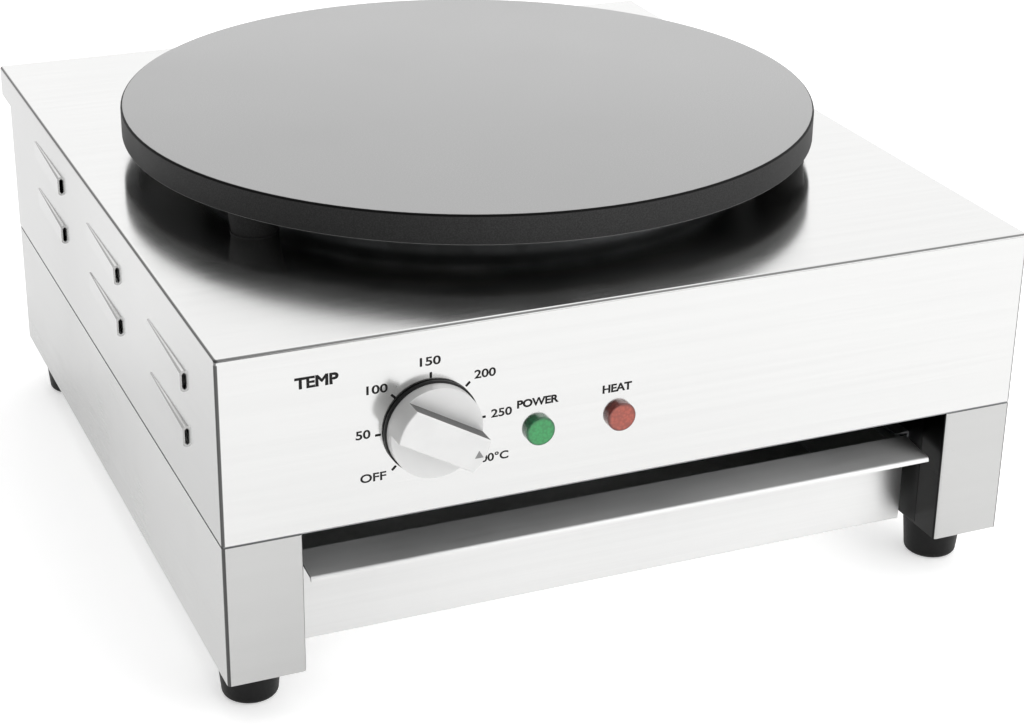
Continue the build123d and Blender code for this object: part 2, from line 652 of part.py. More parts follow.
with BuildPart() as runner_rivets:
    for side in (LEFT, RIGHT):
        for rivet_y in RIVET_YS:
            with Locations(Plane(origin=(side * (BAY_HALF + SHEET), rivet_y, RIVET_Z), z_dir=(side, 0, 0))):
                add(runner_rivet.part)
runner_rivets.part.label = "runner_rivets"
export_step(runner_rivets.part, "parts/runner_rivets.step")

# ---------------------------------------------------------------------------
# Rear panels
# ---------------------------------------------------------------------------

with BuildPart() as back_panel:
    with BuildSketch(facing_back(0, BACK_Y, 0)):
        with Locations((0, (SEAM_Z + LIP_BOTTOM_Z) / 2)):
            Rectangle(BODY_WIDTH - 2 * SHEET, LIP_BOTTOM_Z - SEAM_Z - PANEL_JOINT)
        with Locations(*[(s * REAR_SCREW_X, z) for s in (LEFT, RIGHT) for z in REAR_SCREW_UPPER_Z]):
            Circle(M4_RADIUS + HOLE_PLAY, mode=Mode.SUBTRACT)
        with Locations((REAR_VENT_SPREAD, (SEAM_Z + LIP_BOTTOM_Z) / 2)):
            with GridLocations(REAR_VENT_SPREAD, VENT_PITCH, REAR_VENT_COLUMNS, REAR_VENT_ROWS):
                SlotOverall(VENT_LENGTH, VENT_WIDTH, mode=Mode.SUBTRACT)
        with Locations((-GLAND_X, GLAND_HEIGHT)):
            Circle(GLAND_THREAD_RADIUS + HOLE_PLAY, mode=Mode.SUBTRACT)
        with Locations((-STUD_X, STUD_HEIGHT)):
            Circle(STUD_RADIUS + HOLE_PLAY, mode=Mode.SUBTRACT)
    extrude(amount=SHEET)
back_panel.part.label = "back_panel"
export_step(back_panel.part, "parts/back_panel.step")

with BuildPart() as bay_rear_panel:
    with BuildSketch(facing_back(0, BACK_Y, 0)):
        with Locations((0, FRAME_Z + FRAME_HEIGHT / 2)):
            Rectangle(BODY_WIDTH - 2 * SHEET, FRAME_HEIGHT - PANEL_JOINT)
        with Locations(*[(s * REAR_SCREW_X, z) for s in (LEFT, RIGHT) for z in REAR_SCREW_LOWER_Z]):
            Circle(M4_RADIUS + HOLE_PLAY, mode=Mode.SUBTRACT)
    extrude(amount=SHEET)
bay_rear_panel.part.label = "bay_rear_panel"
export_step(bay_rear_panel.part, "parts/bay_rear_panel.step")

# ---------------------------------------------------------------------------
# Drawer: front with its folded pull, and the tray behind it
# ---------------------------------------------------------------------------

with BuildPart() as drawer_front:
    with BuildSketch(Plane.YZ.offset(-DRAWER_HALF)):
        with BuildLine() as drawer_section:
            FilletPolyline(
                (DRAWER_Y + DRAWER_HEM, DRAWER_Z + SHEET / 2),
                (DRAWER_Y + SHEET / 2, DRAWER_Z + SHEET / 2),
                (DRAWER_Y + SHEET / 2, DRAWER_TOP_Z - SHEET / 2),
                (DRAWER_Y - PULL_REACH + SHEET / 2, DRAWER_TOP_Z - SHEET / 2 - PULL_SLOPE),
                (DRAWER_Y - PULL_REACH + SHEET / 2, DRAWER_TOP_Z - PULL_SLOPE - PULL_LIP),
                radius=SHEET,
            )
        trace(line_width=SHEET)
    extrude(amount=2 * DRAWER_HALF)
drawer_front.part.label = "drawer_front"
export_step(drawer_front.part, "parts/drawer_front.step")

TRAY_Z = DRAWER_Z + SHEET + TRAY_SEAT
TRAY_MIDDLE_Y = DRAWER_BACK_Y + TRAY_LENGTH / 2
TRAY_FLANGE_X = TRAY_HALF + (TRAY_FLANGE - TRAY_SHEET) / 2

with BuildPart() as drawer_tray:
    with BuildSketch(Plane.XY.offset(TRAY_Z)):
        with Locations((0, TRAY_MIDDLE_Y)):
            Rectangle(2 * TRAY_HALF, TRAY_LENGTH)
    extrude(amount=TRAY_TOP_Z - TRAY_Z)
    fillet(drawer_tray.edges().filter_by(Axis.Z), BEND_RADIUS)
    fillet(drawer_tray.faces().sort_by(Axis.Z)[0].edges(), BEND_RADIUS)
    with BuildSketch(Plane.XY.offset(TRAY_Z + TRAY_SHEET)):
        with Locations((0, TRAY_MIDDLE_Y)):
            Rectangle(2 * (TRAY_HALF - TRAY_SHEET), TRAY_LENGTH - 2 * TRAY_SHEET)
    extrude(amount=TRAY_TOP_Z - TRAY_Z - TRAY_SHEET, mode=Mode.SUBTRACT)
    with BuildSketch(Plane.XY.offset(TRAY_TOP_Z)):
        for side in (LEFT, RIGHT):
            with Locations((side * TRAY_FLANGE_X, TRAY_MIDDLE_Y + RUNNER_START)):
                Rectangle(TRAY_FLANGE + TRAY_SHEET, TRAY_LENGTH - 2 * RUNNER_START)
    extrude(amount=-SHEET)
drawer_tray.part.label = "drawer_tray"
export_step(drawer_tray.part, "parts/drawer_tray.step")

# ---------------------------------------------------------------------------
# Cooking plate, its gaskets, screws and washers
# ---------------------------------------------------------------------------

PLATE_RADIUS = PLATE_DIAMETER / 2
BOSS_FOOT_Z = TOP_Z + LEG_GASKET
BOSS_HEIGHT = PLATE_UNDER_Z - BOSS_FOOT_Z
BOSS_TAPER = degrees(asin((LEG_BOSS_RADIUS_TOP - LEG_BOSS_RADIUS_FOOT) / BOSS_HEIGHT))

with BuildPart() as cooking_plate:
    with BuildSketch(Plane.XY.offset(RIM_Z)):
        with Locations((0, PLATE_Y)):
            Circle(PLATE_RADIUS)
    extrude(amount=PLATE_RIM)
    fillet(cooking_plate.edges().sort_by(Axis.Z)[-1], PLATE_EDGE)
    fillet(cooking_plate.edges().sort_by(Axis.Z)[0], PLATE_EDGE / 2)
    with BuildSketch(Plane.XY.offset(RIM_Z)):
        with Locations((0, PLATE_Y)):
            Circle(PLATE_RADIUS - PLATE_SKIRT)
    extrude(amount=PLATE_RIM - PLATE_THICKNESS, mode=Mode.SUBTRACT)
    with BuildSketch(Plane.XY.offset(BOSS_FOOT_Z)):
        with Locations(*LEG_BOSS_PLACES):
            Circle(LEG_BOSS_RADIUS_FOOT)
    extrude(amount=BOSS_HEIGHT, taper=-BOSS_TAPER)
    with BuildSketch(Plane.XY.offset(CLAMP_Z + CLAMP_SHEET)):
        with Locations(*CLAMP_STUD_PLACES):
            Circle(CLAMP_BOSS_RADIUS)
    extrude(amount=2 * ELEMENT_RADIUS)
    with BuildSketch(Plane.XY.offset(BOSS_FOOT_Z)):
        with Locations(*LEG_BOSS_PLACES):
            Circle(PLATE_SCREW_RADIUS)
    extrude(amount=PLATE_SCREW_LENGTH - SHEET - CHANNEL_SHEET - LEG_GASKET, mode=Mode.SUBTRACT)
    with BuildSketch(Plane.XY.offset(CLAMP_Z + CLAMP_SHEET)):
        with Locations(*CLAMP_STUD_PLACES):
            Circle(CLAMP_STUD_RADIUS)
    extrude(amount=2 * ELEMENT_RADIUS, mode=Mode.SUBTRACT)
cooking_plate.part.label = "cooking_plate"
export_step(cooking_plate.part, "parts/cooking_plate.step")

leg_gasket = washer(LEG_BOSS_RADIUS_FOOT + LEG_GASKET_RIM, LEG_GASKET, PLATE_SCREW_RADIUS + HOLE_PLAY)
with BuildPart() as leg_gaskets:
    with Locations(*[(x, y, TOP_Z) for x, y in LEG_BOSS_PLACES]):
        add(leg_gasket)
leg_gaskets.part.label = "leg_gaskets"
export_step(leg_gaskets.part, "parts/leg_gaskets.step")

PLATE_WASHER_Z = TOP_INNER_Z - CHANNEL_SHEET - PLATE_WASHER
plate_screw = pan_screw(PLATE_SCREW_RADIUS, PLATE_SCREW_LENGTH, PLATE_SCREW_HEAD_RADIUS, PLATE_SCREW_HEAD)
with BuildPart() as plate_screws:
    with Locations(*[facing_down(x, y, PLATE_WASHER_Z) for x, y in LEG_BOSS_PLACES]):
        add(plate_screw)
plate_screws.part.label = "plate_screws"
export_step(plate_screws.part, "parts/plate_screws.step")

plate_washer = washer(PLATE_WASHER_RADIUS, PLATE_WASHER, PLATE_SCREW_RADIUS + HOLE_PLAY)
with BuildPart() as plate_washers:
    with Locations(*[(x, y, PLATE_WASHER_Z) for x, y in LEG_BOSS_PLACES]):
        add(plate_washer)
plate_washers.part.label = "plate_washers"
export_step(plate_washers.part, "parts/plate_washers.step")

# ---------------------------------------------------------------------------
# Heating elements: a ring each, with two leads that turn down through the top
# ---------------------------------------------------------------------------


def heating_element(ring_radius, lead_angle):
    """Tubular element: ring, elbows, radial leads, and drops with their terminal pins."""
    elbow_circle = ring_radius - ELEMENT_ELBOW
    elbow_turn = degrees(asin(ELEMENT_ELBOW / elbow_circle))
    lead_start = elbow_circle * cos(radians(elbow_turn))
    first = -90 + lead_angle
    last = 270 - lead_angle
    first_elbow = plate_circle(elbow_circle, first + elbow_turn)
    last_elbow = plate_circle(elbow_circle, last - elbow_turn)
    with BuildPart() as element:
        with BuildLine(Plane.XY.offset(ELEMENT_Z)) as ring_path:
            Line(plate_circle(LEAD_CIRCLE + LEAD_BEND, first), plate_circle(lead_start, first))
            CenterArc(first_elbow, ELEMENT_ELBOW, first - 90, 90 + elbow_turn)
            CenterArc((0, PLATE_Y), ring_radius, first + elbow_turn, last - first - 2 * elbow_turn)
            CenterArc(last_elbow, ELEMENT_ELBOW, last - elbow_turn, 90 + elbow_turn)
            Line(plate_circle(lead_start, last), plate_circle(LEAD_CIRCLE + LEAD_BEND, last))
        with BuildSketch(Plane(origin=ring_path.wire() @ 0, z_dir=ring_path.wire() % 0)):
            Circle(ELEMENT_RADIUS)
        sweep(path=ring_path.wire())
        for angle in (first, last):
            outward = (cos(radians(angle)), sin(radians(angle)), 0)
            sideways = (sin(radians(angle)), -cos(radians(angle)), 0)
            with BuildLine(Plane(origin=(0, PLATE_Y, ELEMENT_Z), x_dir=outward, z_dir=sideways)) as drop_path:
                CenterArc((LEAD_CIRCLE + LEAD_BEND, -LEAD_BEND), LEAD_BEND, 90, 90)
                Line((LEAD_CIRCLE, -LEAD_BEND), (LEAD_CIRCLE, -LEAD_DROP))
            with BuildSketch(Plane(origin=drop_path.wire() @ 0, z_dir=drop_path.wire() % 0)):
                Circle(ELEMENT_RADIUS)
            sweep(path=drop_path.wire())
            with BuildSketch(Plane.XY.offset(ELEMENT_Z - LEAD_DROP)):
                with Locations(plate_circle(LEAD_CIRCLE, angle)):
                    Circle(PIN_RADIUS)
            extrude(amount=-PIN_LENGTH)
    return element.part


outer_heating_element = heating_element(OUTER_RING, OUTER_LEAD_ANGLE)
outer_heating_element.label = "outer_heating_element"
export_step(outer_heating_element, "parts/outer_heating_element.step")

inner_heating_element = heating_element(INNER_RING, INNER_LEAD_ANGLE)
inner_heating_element.label = "inner_heating_element"
export_step(inner_heating_element, "parts/inner_heating_element.step")

with BuildPart() as element_clamp_plate:
    with BuildSketch(Plane.XY.offset(CLAMP_Z)):
        with Locations((0, PLATE_Y)):
            Circle(CLAMP_RADIUS)
            Circle(CLAMP_BORE, mode=Mode.SUBTRACT)
        with Locations(*CLAMP_STUD_PLACES):
            Circle(CLAMP_STUD_RADIUS + HOLE_PLAY, mode=Mode.SUBTRACT)
    extrude(amount=CLAMP_SHEET)
element_clamp_plate.part.label = "element_clamp_plate"
export_step(element_clamp_plate.part, "parts/element_clamp_plate.step")

CLAMP_STUD_LENGTH = 2 * ELEMENT_RADIUS + CLAMP_SHEET + CLAMP_NUT
with BuildPart() as clamp_studs:
    with Locations(*[(x, y, PLATE_UNDER_Z) for x, y in CLAMP_STUD_PLACES]):
        Cylinder(CLAMP_STUD_RADIUS, CLAMP_STUD_LENGTH, align=(Align.CENTER, Align.CENTER, Align.MAX))
clamp_studs.part.label = "clamp_studs"
export_step(clamp_studs.part, "parts/clamp_studs.step")

clamp_nut = hex_nut(CLAMP_NUT_FLATS, CLAMP_NUT, CLAMP_STUD_RADIUS)
with BuildPart() as clamp_nuts:
    with Locations(*[(x, y, CLAMP_Z - CLAMP_NUT) for x, y in CLAMP_STUD_PLACES]):
        add(clamp_nut)
clamp_nuts.part.label = "clamp_nuts"
export_step(clamp_nuts.part, "parts/clamp_nuts.step")

# Heat shield: a shallow dish on the top panel that holds the insulation disc
with BuildPart() as heat_shield:
    with BuildSketch(Plane.XY.offset(TOP_Z)):
        with Locations((0, PLATE_Y)):
            Circle(SHIELD_RADIUS)
            Circle(WIRING_BORE, mode=Mode.SUBTRACT)
    extrude(amount=SHIELD_RIM)
    with BuildSketch(Plane.XY.offset(TOP_Z + SHIELD_SHEET)):
        with Locations((0, PLATE_Y)):
            Circle(SHIELD_RADIUS - SHIELD_SHEET)
            Circle(WIRING_BORE + SHIELD_SHEET, mode=Mode.SUBTRACT)
    extrude(amount=SHIELD_RIM - SHIELD_SHEET, mode=Mode.SUBTRACT)
heat_shield.part.label = "heat_shield"
export_step(heat_shield.part, "parts/heat_shield.step")

with BuildPart() as insulation_disc:
    with BuildSketch(Plane.XY.offset(TOP_Z + SHIELD_SHEET)):
        with Locations((0, PLATE_Y)):
            Circle(SHIELD_RADIUS - SHIELD_SHEET - INSULATION_GAP)
            Circle(WIRING_BORE + SHIELD_SHEET + INSULATION_GAP, mode=Mode.SUBTRACT)
        with Locations(*CLAMP_STUD_PLACES):
            Circle(CLAMP_NUT_FLATS, mode=Mode.SUBTRACT)
    extrude(amount=INSULATION)
insulation_disc.part.label = "insulation_disc"
export_step(insulation_disc.part, "parts/insulation_disc.step")

# Overheat cut-out: a snap disc against the plate's underside, inside the wiring bore
CUTOUT_Y = PLATE_Y + CUTOUT_FROM_AXIS
CUTOUT_Z = PLATE_UNDER_Z - CUTOUT_HEIGHT
with BuildPart() as overheat_cutout:
    with BuildSketch(Plane.XY.offset(CUTOUT_Z)):
        with Locations((0, CUTOUT_Y)):
            Circle(CUTOUT_RADIUS)
    extrude(amount=CUTOUT_HEIGHT)
    chamfer(overheat_cutout.edges().sort_by(Axis.Z)[0], CUTOUT_EDGE)
    with BuildSketch(Plane.XY.offset(CUTOUT_Z)):
        with Locations((0, CUTOUT_Y)), GridLocations(CUTOUT_RADIUS, 0, 2, 1):
            Rectangle(BLADE_THICKNESS, BLADE_WIDTH)
    extrude(amount=-BLADE_LENGTH)
overheat_cutout.part.label = "overheat_cutout"
export_step(overheat_cutout.part, "parts/overheat_cutout.step")

# ---------------------------------------------------------------------------
# Dial: knob base, knob cap and shaft
# ---------------------------------------------------------------------------


def dial_plane(y, turn=0.0):
    """Plane on the dial's axis that faces the front, its +Y turned clockwise from straight up."""
    across = (cos(radians(turn)), 0, -sin(radians(turn)))
    return Plane(origin=(KNOB_X, y, KNOB_Z), x_dir=across, z_dir=(0, -1, 0))


def shaft_section(radius_play=0.0):
    """D-shaped section of the shaft, with its flat across from the pointer."""
    with BuildSketch() as section_sketch:
        Circle(SHAFT_RADIUS + radius_play)
        with Locations((0, -SHAFT_FLAT - radius_play)):
            Rectangle(4 * SHAFT_RADIUS, 2 * SHAFT_RADIUS, align=(Align.CENTER, Align.MAX), mode=Mode.SUBTRACT)
    return section_sketch.sketch


shaft_face = shaft_section()

with BuildPart() as knob_base:
    with BuildSketch(dial_plane(KNOB_BACK_Y, KNOB_POINTER_TURN)):
        Circle(KNOB_BASE_RADIUS)
    extrude(amount=KNOB_FLANGE)
    fillet(knob_base.edges().sort_by(Axis.Y)[0], KNOB_EDGE)
    # spigot that centres the cap
    with BuildSketch(dial_plane(KNOB_BACK_Y, KNOB_POINTER_TURN)):
        Circle(KNOB_SPIGOT_RADIUS)
    extrude(amount=KNOB_BASE)
    with BuildSketch(dial_plane(KNOB_BACK_Y, KNOB_POINTER_TURN)):
        Circle(KNOB_RECESS_RADIUS)
    extrude(amount=KNOB_RECESS, mode=Mode.SUBTRACT)
    with BuildSketch(dial_plane(KNOB_BACK_Y, KNOB_POINTER_TURN)):
        add(shaft_face)
    extrude(amount=KNOB_BASE, mode=Mode.SUBTRACT)
knob_base.part.label = "knob_base"
export_step(knob_base.part, "parts/knob_base.step")

KNOB_CAP_HEIGHT = CAP_BACK_Y - KNOB_FRONT_Y
with BuildPart() as knob_cap:
    with BuildSketch(dial_plane(CAP_BACK_Y, KNOB_POINTER_TURN)):
        Circle(KNOB_CAP_RADIUS)
    extrude(amount=KNOB_CAP_HEIGHT)
    # the two side segments are cut down to the shoulder and leave the bar
    with BuildSketch(dial_plane(CAP_BACK_Y - KNOB_SHOULDER, KNOB_POINTER_TURN)):
        Circle(KNOB_CAP_RADIUS + KNOB_EDGE)
        Rectangle(KNOB_BAR_WIDTH, 3 * KNOB_CAP_RADIUS, mode=Mode.SUBTRACT)
    extrude(amount=KNOB_CAP_HEIGHT, mode=Mode.SUBTRACT)
    fillet(knob_cap.faces().sort_by(Axis.Y)[0].edges(), KNOB_EDGE)
    with BuildSketch(dial_plane(CAP_BACK_Y, KNOB_POINTER_TURN)):
        Circle(KNOB_SPIGOT_RADIUS + KNOB_SPIGOT_PLAY)
    extrude(amount=KNOB_BASE - KNOB_FLANGE, mode=Mode.SUBTRACT)
    with BuildSketch(dial_plane(CAP_BACK_Y, KNOB_POINTER_TURN)):
        add(shaft_face)
    extrude(amount=KNOB_CAP_HEIGHT - SHAFT_COVER, mode=Mode.SUBTRACT)
knob_cap.part.label = "knob_cap"
export_step(knob_cap.part, "parts/knob_cap.step")

SHAFT_FRONT_Y = KNOB_FRONT_Y + SHAFT_COVER
SHAFT_BACK_Y = INNER_FRONT_Y + SHAFT_DEPTH
with BuildPart() as thermostat_shaft:
    with BuildSketch(dial_plane(KNOB_BACK_Y, KNOB_POINTER_TURN)):
        add(shaft_face)
    extrude(amount=KNOB_BACK_Y - SHAFT_FRONT_Y)
    with BuildSketch(dial_plane(SHAFT_BACK_Y)):
        Circle(SHAFT_RADIUS)
    extrude(amount=SHAFT_BACK_Y - KNOB_BACK_Y)
thermostat_shaft.part.label = "thermostat_shaft"
export_step(thermostat_shaft.part, "parts/thermostat_shaft.step")

# ---------------------------------------------------------------------------
# Thermostat behind the dial, with its screws
# ---------------------------------------------------------------------------

with BuildPart() as thermostat_body:
    with BuildSketch(facing_front(KNOB_X, THERMOSTAT_BACK_Y, KNOB_Z)):
        Rectangle(THERMOSTAT_WIDTH, THERMOSTAT_HEIGHT)
    extrude(amount=THERMOSTAT_DEPTH)
    fillet(thermostat_body.edges().filter_by(Axis.Y), BEND_RADIUS)
    with BuildSketch(facing_front(KNOB_X, INNER_FRONT_Y, KNOB_Z)):
        Circle(BUSH_RADIUS)
    extrude(amount=SHEET + BUSH_REACH)
    with BuildSketch(facing_front(KNOB_X, FRONT_Y - BUSH_REACH, KNOB_Z)):
        Circle(SHAFT_RADIUS + SHAFT_PLAY)
    extrude(amount=-(BUSH_REACH + SHEET + SHAFT_DEPTH + KNOB_BASE_GAP), mode=Mode.SUBTRACT)
    with BuildSketch(facing_front(0, INNER_FRONT_Y, KNOB_Z)):
        with Locations(*[(x, 0) for x in THERMOSTAT_SCREW_XS]):
            Circle(M4_RADIUS)
    extrude(amount=-(THERMOSTAT_SCREW_LENGTH - SHEET), mode=Mode.SUBTRACT)
    # terminal blades at the back
    with BuildSketch(facing_back(KNOB_X, THERMOSTAT_BACK_Y, KNOB_Z)):
        with GridLocations(THERMOSTAT_WIDTH / 2, THERMOSTAT_HEIGHT / 2, 2, 2):
            Rectangle(BLADE_WIDTH, BLADE_THICKNESS)
    extrude(amount=BLADE_LENGTH)
thermostat_body.part.label = "thermostat_body"
export_step(thermostat_body.part, "parts/thermostat_body.step")

thermostat_screw = pan_screw(M4_RADIUS, THERMOSTAT_SCREW_LENGTH, THERMOSTAT_HEAD_RADIUS, THERMOSTAT_HEAD)
with BuildPart() as thermostat_screws:
    with Locations(*[facing_front(x, FRONT_Y, KNOB_Z) for x in THERMOSTAT_SCREW_XS]):
        add(thermostat_screw)
thermostat_screws.part.label = "thermostat_screws"
export_step(thermostat_screws.part, "parts/thermostat_screws.step")

# ---------------------------------------------------------------------------
# Indicator lamps
# ---------------------------------------------------------------------------

for name, lamp_x in zip(("power_lamp_lens", "heat_lamp_lens"), LAMP_XS):
    with BuildPart() as lamp_lens:
        with BuildSketch(facing_front(lamp_x, FRONT_Y, LAMP_Z)):
            Circle(LENS_RADIUS)
        extrude(amount=LENS_HEIGHT)
        fillet(lamp_lens.edges().sort_by(Axis.Y)[0], LENS_EDGE)
    lamp_lens.part.label = name
    export_step(lamp_lens.part, f"parts/{name}.step")

with BuildPart() as lamp_bodies:
    with BuildSketch(facing_back(0, FRONT_Y, LAMP_Z)):
        with Locations(*[(-x, 0) for x in LAMP_XS]):
            Circle(LAMP_BARREL_RADIUS)
    extrude(amount=LAMP_BARREL_LENGTH)
    with BuildSketch(facing_back(0, LAMP_TAIL_Y, LAMP_Z)):
        with Locations(*[(-x, 0) for x in LAMP_XS]), GridLocations(LAMP_BLADE_SPACING, 0, 2, 1):
            Rectangle(BLADE_THICKNESS, BLADE_WIDTH)
    extrude(amount=BLADE_LENGTH)
lamp_bodies.part.label = "lamp_bodies"
export_step(lamp_bodies.part, "parts/lamp_bodies.step")

lamp_nut = hex_nut(LAMP_NUT_FLATS, LAMP_NUT, LAMP_BARREL_RADIUS)
with BuildPart() as lamp_nuts:
    with Locations(*[facing_back(x, INNER_FRONT_Y, LAMP_Z) for x in LAMP_XS]):
        add(lamp_nut)
lamp_nuts.part.label = "lamp_nuts"
export_step(lamp_nuts.part, "parts/lamp_nuts.step")

# ---------------------------------------------------------------------------
# Supply end: cable gland, bonding stud and terminal block
# ---------------------------------------------------------------------------

GLAND_HEX_END_Y = PANEL_BACK_Y + GLAND_HEX

with BuildPart() as gland_body:
    with BuildSketch(facing_back(GLAND_X, BACK_Y - GLAND_INSIDE, GLAND_HEIGHT)):
        Circle(GLAND_THREAD_RADIUS)
    extrude(amount=GLAND_INSIDE + SHEET)
    with BuildSketch(facing_back(GLAND_X, PANEL_BACK_Y, GLAND_HEIGHT)):
        RegularPolygon(GLAND_FLATS / 2, 6, major_radius=False)
    extrude(amount=GLAND_HEX)
    with BuildSketch(facing_back(GLAND_X, GLAND_HEX_END_Y, GLAND_HEIGHT)):
        Circle(GLAND_NECK_RADIUS)
    extrude(amount=GLAND_NECK)
    with BuildSketch(facing_back(GLAND_X, BACK_Y - GLAND_INSIDE, GLAND_HEIGHT)):
        Circle(GLAND_BORE_RADIUS)
    extrude(amount=GLAND_INSIDE + SHEET + GLAND_HEX + GLAND_NECK, mode=Mode.SUBTRACT)
gland_body.part.label = "gland_body"
export_step(gland_body.part, "parts/gland_body.step")

gland_locknut = hex_nut(GLAND_FLATS, GLAND_LOCKNUT, GLAND_THREAD_RADIUS)
with BuildPart() as gland_nut:
    with Locations(facing_front(GLAND_X, BACK_Y, GLAND_HEIGHT)):
        add(gland_locknut)
gland_nut.part.label = "gland_locknut"
export_step(gland_nut.part, "parts/gland_locknut.step")

with BuildPart() as gland_cap:
    with BuildSketch(facing_back(GLAND_X, GLAND_HEX_END_Y, GLAND_HEIGHT)):
        Circle(GLAND_CAP_RADIUS)
    with BuildSketch(facing_back(GLAND_X, GLAND_HEX_END_Y + GLAND_CAP, GLAND_HEIGHT)):
        Circle(GLAND_CAP_END_RADIUS)
    loft()
    with BuildSketch(facing_back(GLAND_X, GLAND_HEX_END_Y, GLAND_HEIGHT)):
        Circle(GLAND_NECK_RADIUS)
    extrude(amount=GLAND_NECK, mode=Mode.SUBTRACT)
    with BuildSketch(facing_back(GLAND_X, GLAND_HEX_END_Y, GLAND_HEIGHT)):
        Circle(GLAND_BORE_RADIUS)
    extrude(amount=GLAND_CAP, mode=Mode.SUBTRACT)
gland_cap.part.label = "gland_cap"
export_step(gland_cap.part, "parts/gland_cap.step")

with BuildPart() as bonding_stud:
    with BuildSketch(facing_back(STUD_X, BACK_Y - STUD_INSIDE, STUD_HEIGHT)):
        Circle(STUD_RADIUS)
    extrude(amount=STUD_INSIDE + SHEET + STUD_OUTSIDE)
    chamfer(bonding_stud.edges().sort_by(Axis.Y)[-1], STUD_EDGE)
bonding_stud.part.label = "bonding_stud"
export_step(bonding_stud.part, "parts/bonding_stud.step")

stud_nut = hex_nut(STUD_NUT_FLATS, STUD_NUT, STUD_RADIUS)
with BuildPart() as bonding_nuts:
    with Locations(
        facing_front(STUD_X, BACK_Y - STUD_WASHER, STUD_HEIGHT),
        facing_back(STUD_X, PANEL_BACK_Y + STUD_WASHER, STUD_HEIGHT),
    ):
        add(stud_nut)
bonding_nuts.part.label = "bonding_nuts"
export_step(bonding_nuts.part, "parts/bonding_nuts.step")

stud_washer = washer(STUD_WASHER_RADIUS, STUD_WASHER, STUD_RADIUS)
with BuildPart() as bonding_washers:
    with Locations(
        facing_front(STUD_X, BACK_Y, STUD_HEIGHT),
        facing_back(STUD_X, PANEL_BACK_Y, STUD_HEIGHT),
    ):
        add(stud_washer)
bonding_washers.part.label = "bonding_washers"
export_step(bonding_washers.part, "parts/bonding_washers.step")

POLE_XS = [TERMINAL_X + (i - 1) * TERMINAL_PITCH for i in range(TERMINAL_POLES)]
POLE_Z = SEAM_Z + TERMINAL_HEIGHT / 2
with BuildPart() as terminal_block:
    with BuildSketch(Plane.XY.offset(SEAM_Z)):
        with Locations((TERMINAL_X, TERMINAL_Y)):
            Rectangle(TERMINAL_WIDTH, TERMINAL_DEPTH)
    extrude(amount=TERMINAL_HEIGHT)
    fillet(terminal_block.edges().filter_by(Axis.Z), BEND_RADIUS)
    with BuildSketch(facing_front(0, TERMINAL_Y + TERMINAL_DEPTH / 2, 0)):
        with Locations(*[(x, POLE_Z) for x in POLE_XS]):
            Circle(TERMINAL_BORE)
    extrude(amount=TERMINAL_DEPTH, mode=Mode.SUBTRACT)
    with BuildSketch(Plane.XY.offset(SEAM_Z + TERMINAL_HEIGHT)):
        with Locations(*[(x, TERMINAL_Y) for x in POLE_XS]), GridLocations(0, TERMINAL_DEPTH / 2, 1, 2):
            Circle(M4_RADIUS)
    extrude(amount=-TERMINAL_HEIGHT / 2, mode=Mode.SUBTRACT)
terminal_block.part.label = "terminal_block"
export_step(terminal_block.part, "parts/terminal_block.step")

TERMINAL_SCREW_LENGTH = TERMINAL_HEIGHT / 2 - TERMINAL_BORE
with BuildPart() as terminal_screws:
    with Locations(*[(x, TERMINAL_Y, SEAM_Z + TERMINAL_HEIGHT) for x in POLE_XS]):
        with GridLocations(0, TERMINAL_DEPTH / 2, 1, 2):
            Cylinder(M4_RADIUS, TERMINAL_SCREW_LENGTH, align=(Align.CENTER, Align.CENTER, Align.MAX))
terminal_screws.part.label = "terminal_screws"
export_step(terminal_screws.part, "parts/terminal_screws.step")

# ---------------------------------------------------------------------------
# Feet and their fasteners
# ---------------------------------------------------------------------------

foot_names = ("front_left_foot", "rear_left_foot", "front_right_foot", "rear_right_foot")
for name, place in zip(foot_names, FOOT_PLACES):
    with BuildPart() as foot:
        with BuildSketch(Plane.XY):
            with Locations(place):
                Circle(FOOT_BOTTOM_RADIUS)
        with BuildSketch(Plane.XY.offset(FOOT_HEIGHT)):
            with Locations(place):
                Circle(FOOT_TOP_RADIUS)
        loft()
        fillet(foot.edges().sort_by(Axis.Z)[0], FOOT_EDGE)
        with BuildSketch(Plane.XY):
            with Locations(place):
                Circle(FOOT_RECESS_RADIUS)
        extrude(amount=FOOT_RECESS, mode=Mode.SUBTRACT)
        with BuildSketch(Plane.XY.offset(FOOT_RECESS)):
            with Locations(place):
                Circle(FOOT_SCREW_RADIUS + HOLE_PLAY)
        extrude(amount=FOOT_HEIGHT - FOOT_RECESS, mode=Mode.SUBTRACT)
    foot.part.label = name
    export_step(foot.part, f"parts/{name}.step")

FOOT_WASHER_Z = FOOT_RECESS - FOOT_WASHER
foot_washer = washer(FOOT_WASHER_RADIUS, FOOT_WASHER, FOOT_SCREW_RADIUS + HOLE_PLAY)
with BuildPart() as foot_washers:
    with Locations(*[(x, y, FOOT_WASHER_Z) for x, y in FOOT_PLACES]):
        add(foot_washer)
foot_washers.part.label = "foot_washers"
export_step(foot_washers.part, "parts/foot_washers.step")

foot_screw = pan_screw(FOOT_SCREW_RADIUS, FOOT_SCREW_LENGTH, FOOT_SCREW_HEAD_RADIUS, FOOT_SCREW_HEAD)
with BuildPart() as foot_screws:
    with Locations(*[facing_down(x, y, FOOT_WASHER_Z) for x, y in FOOT_PLACES]):
        add(foot_screw)
foot_screws.part.label = "foot_screws"
export_step(foot_screws.part, "parts/foot_screws.step")

foot_nut = hex_nut(FOOT_NUT_FLATS, FOOT_NUT, FOOT_SCREW_RADIUS)
with BuildPart() as foot_nuts:
    with Locations(*[(x, y, FRAME_Z + SHEET) for x, y in FOOT_PLACES]):
        add(foot_nut)
foot_nuts.part.label = "foot_nuts"
export_step(foot_nuts.part, "parts/foot_nuts.step")

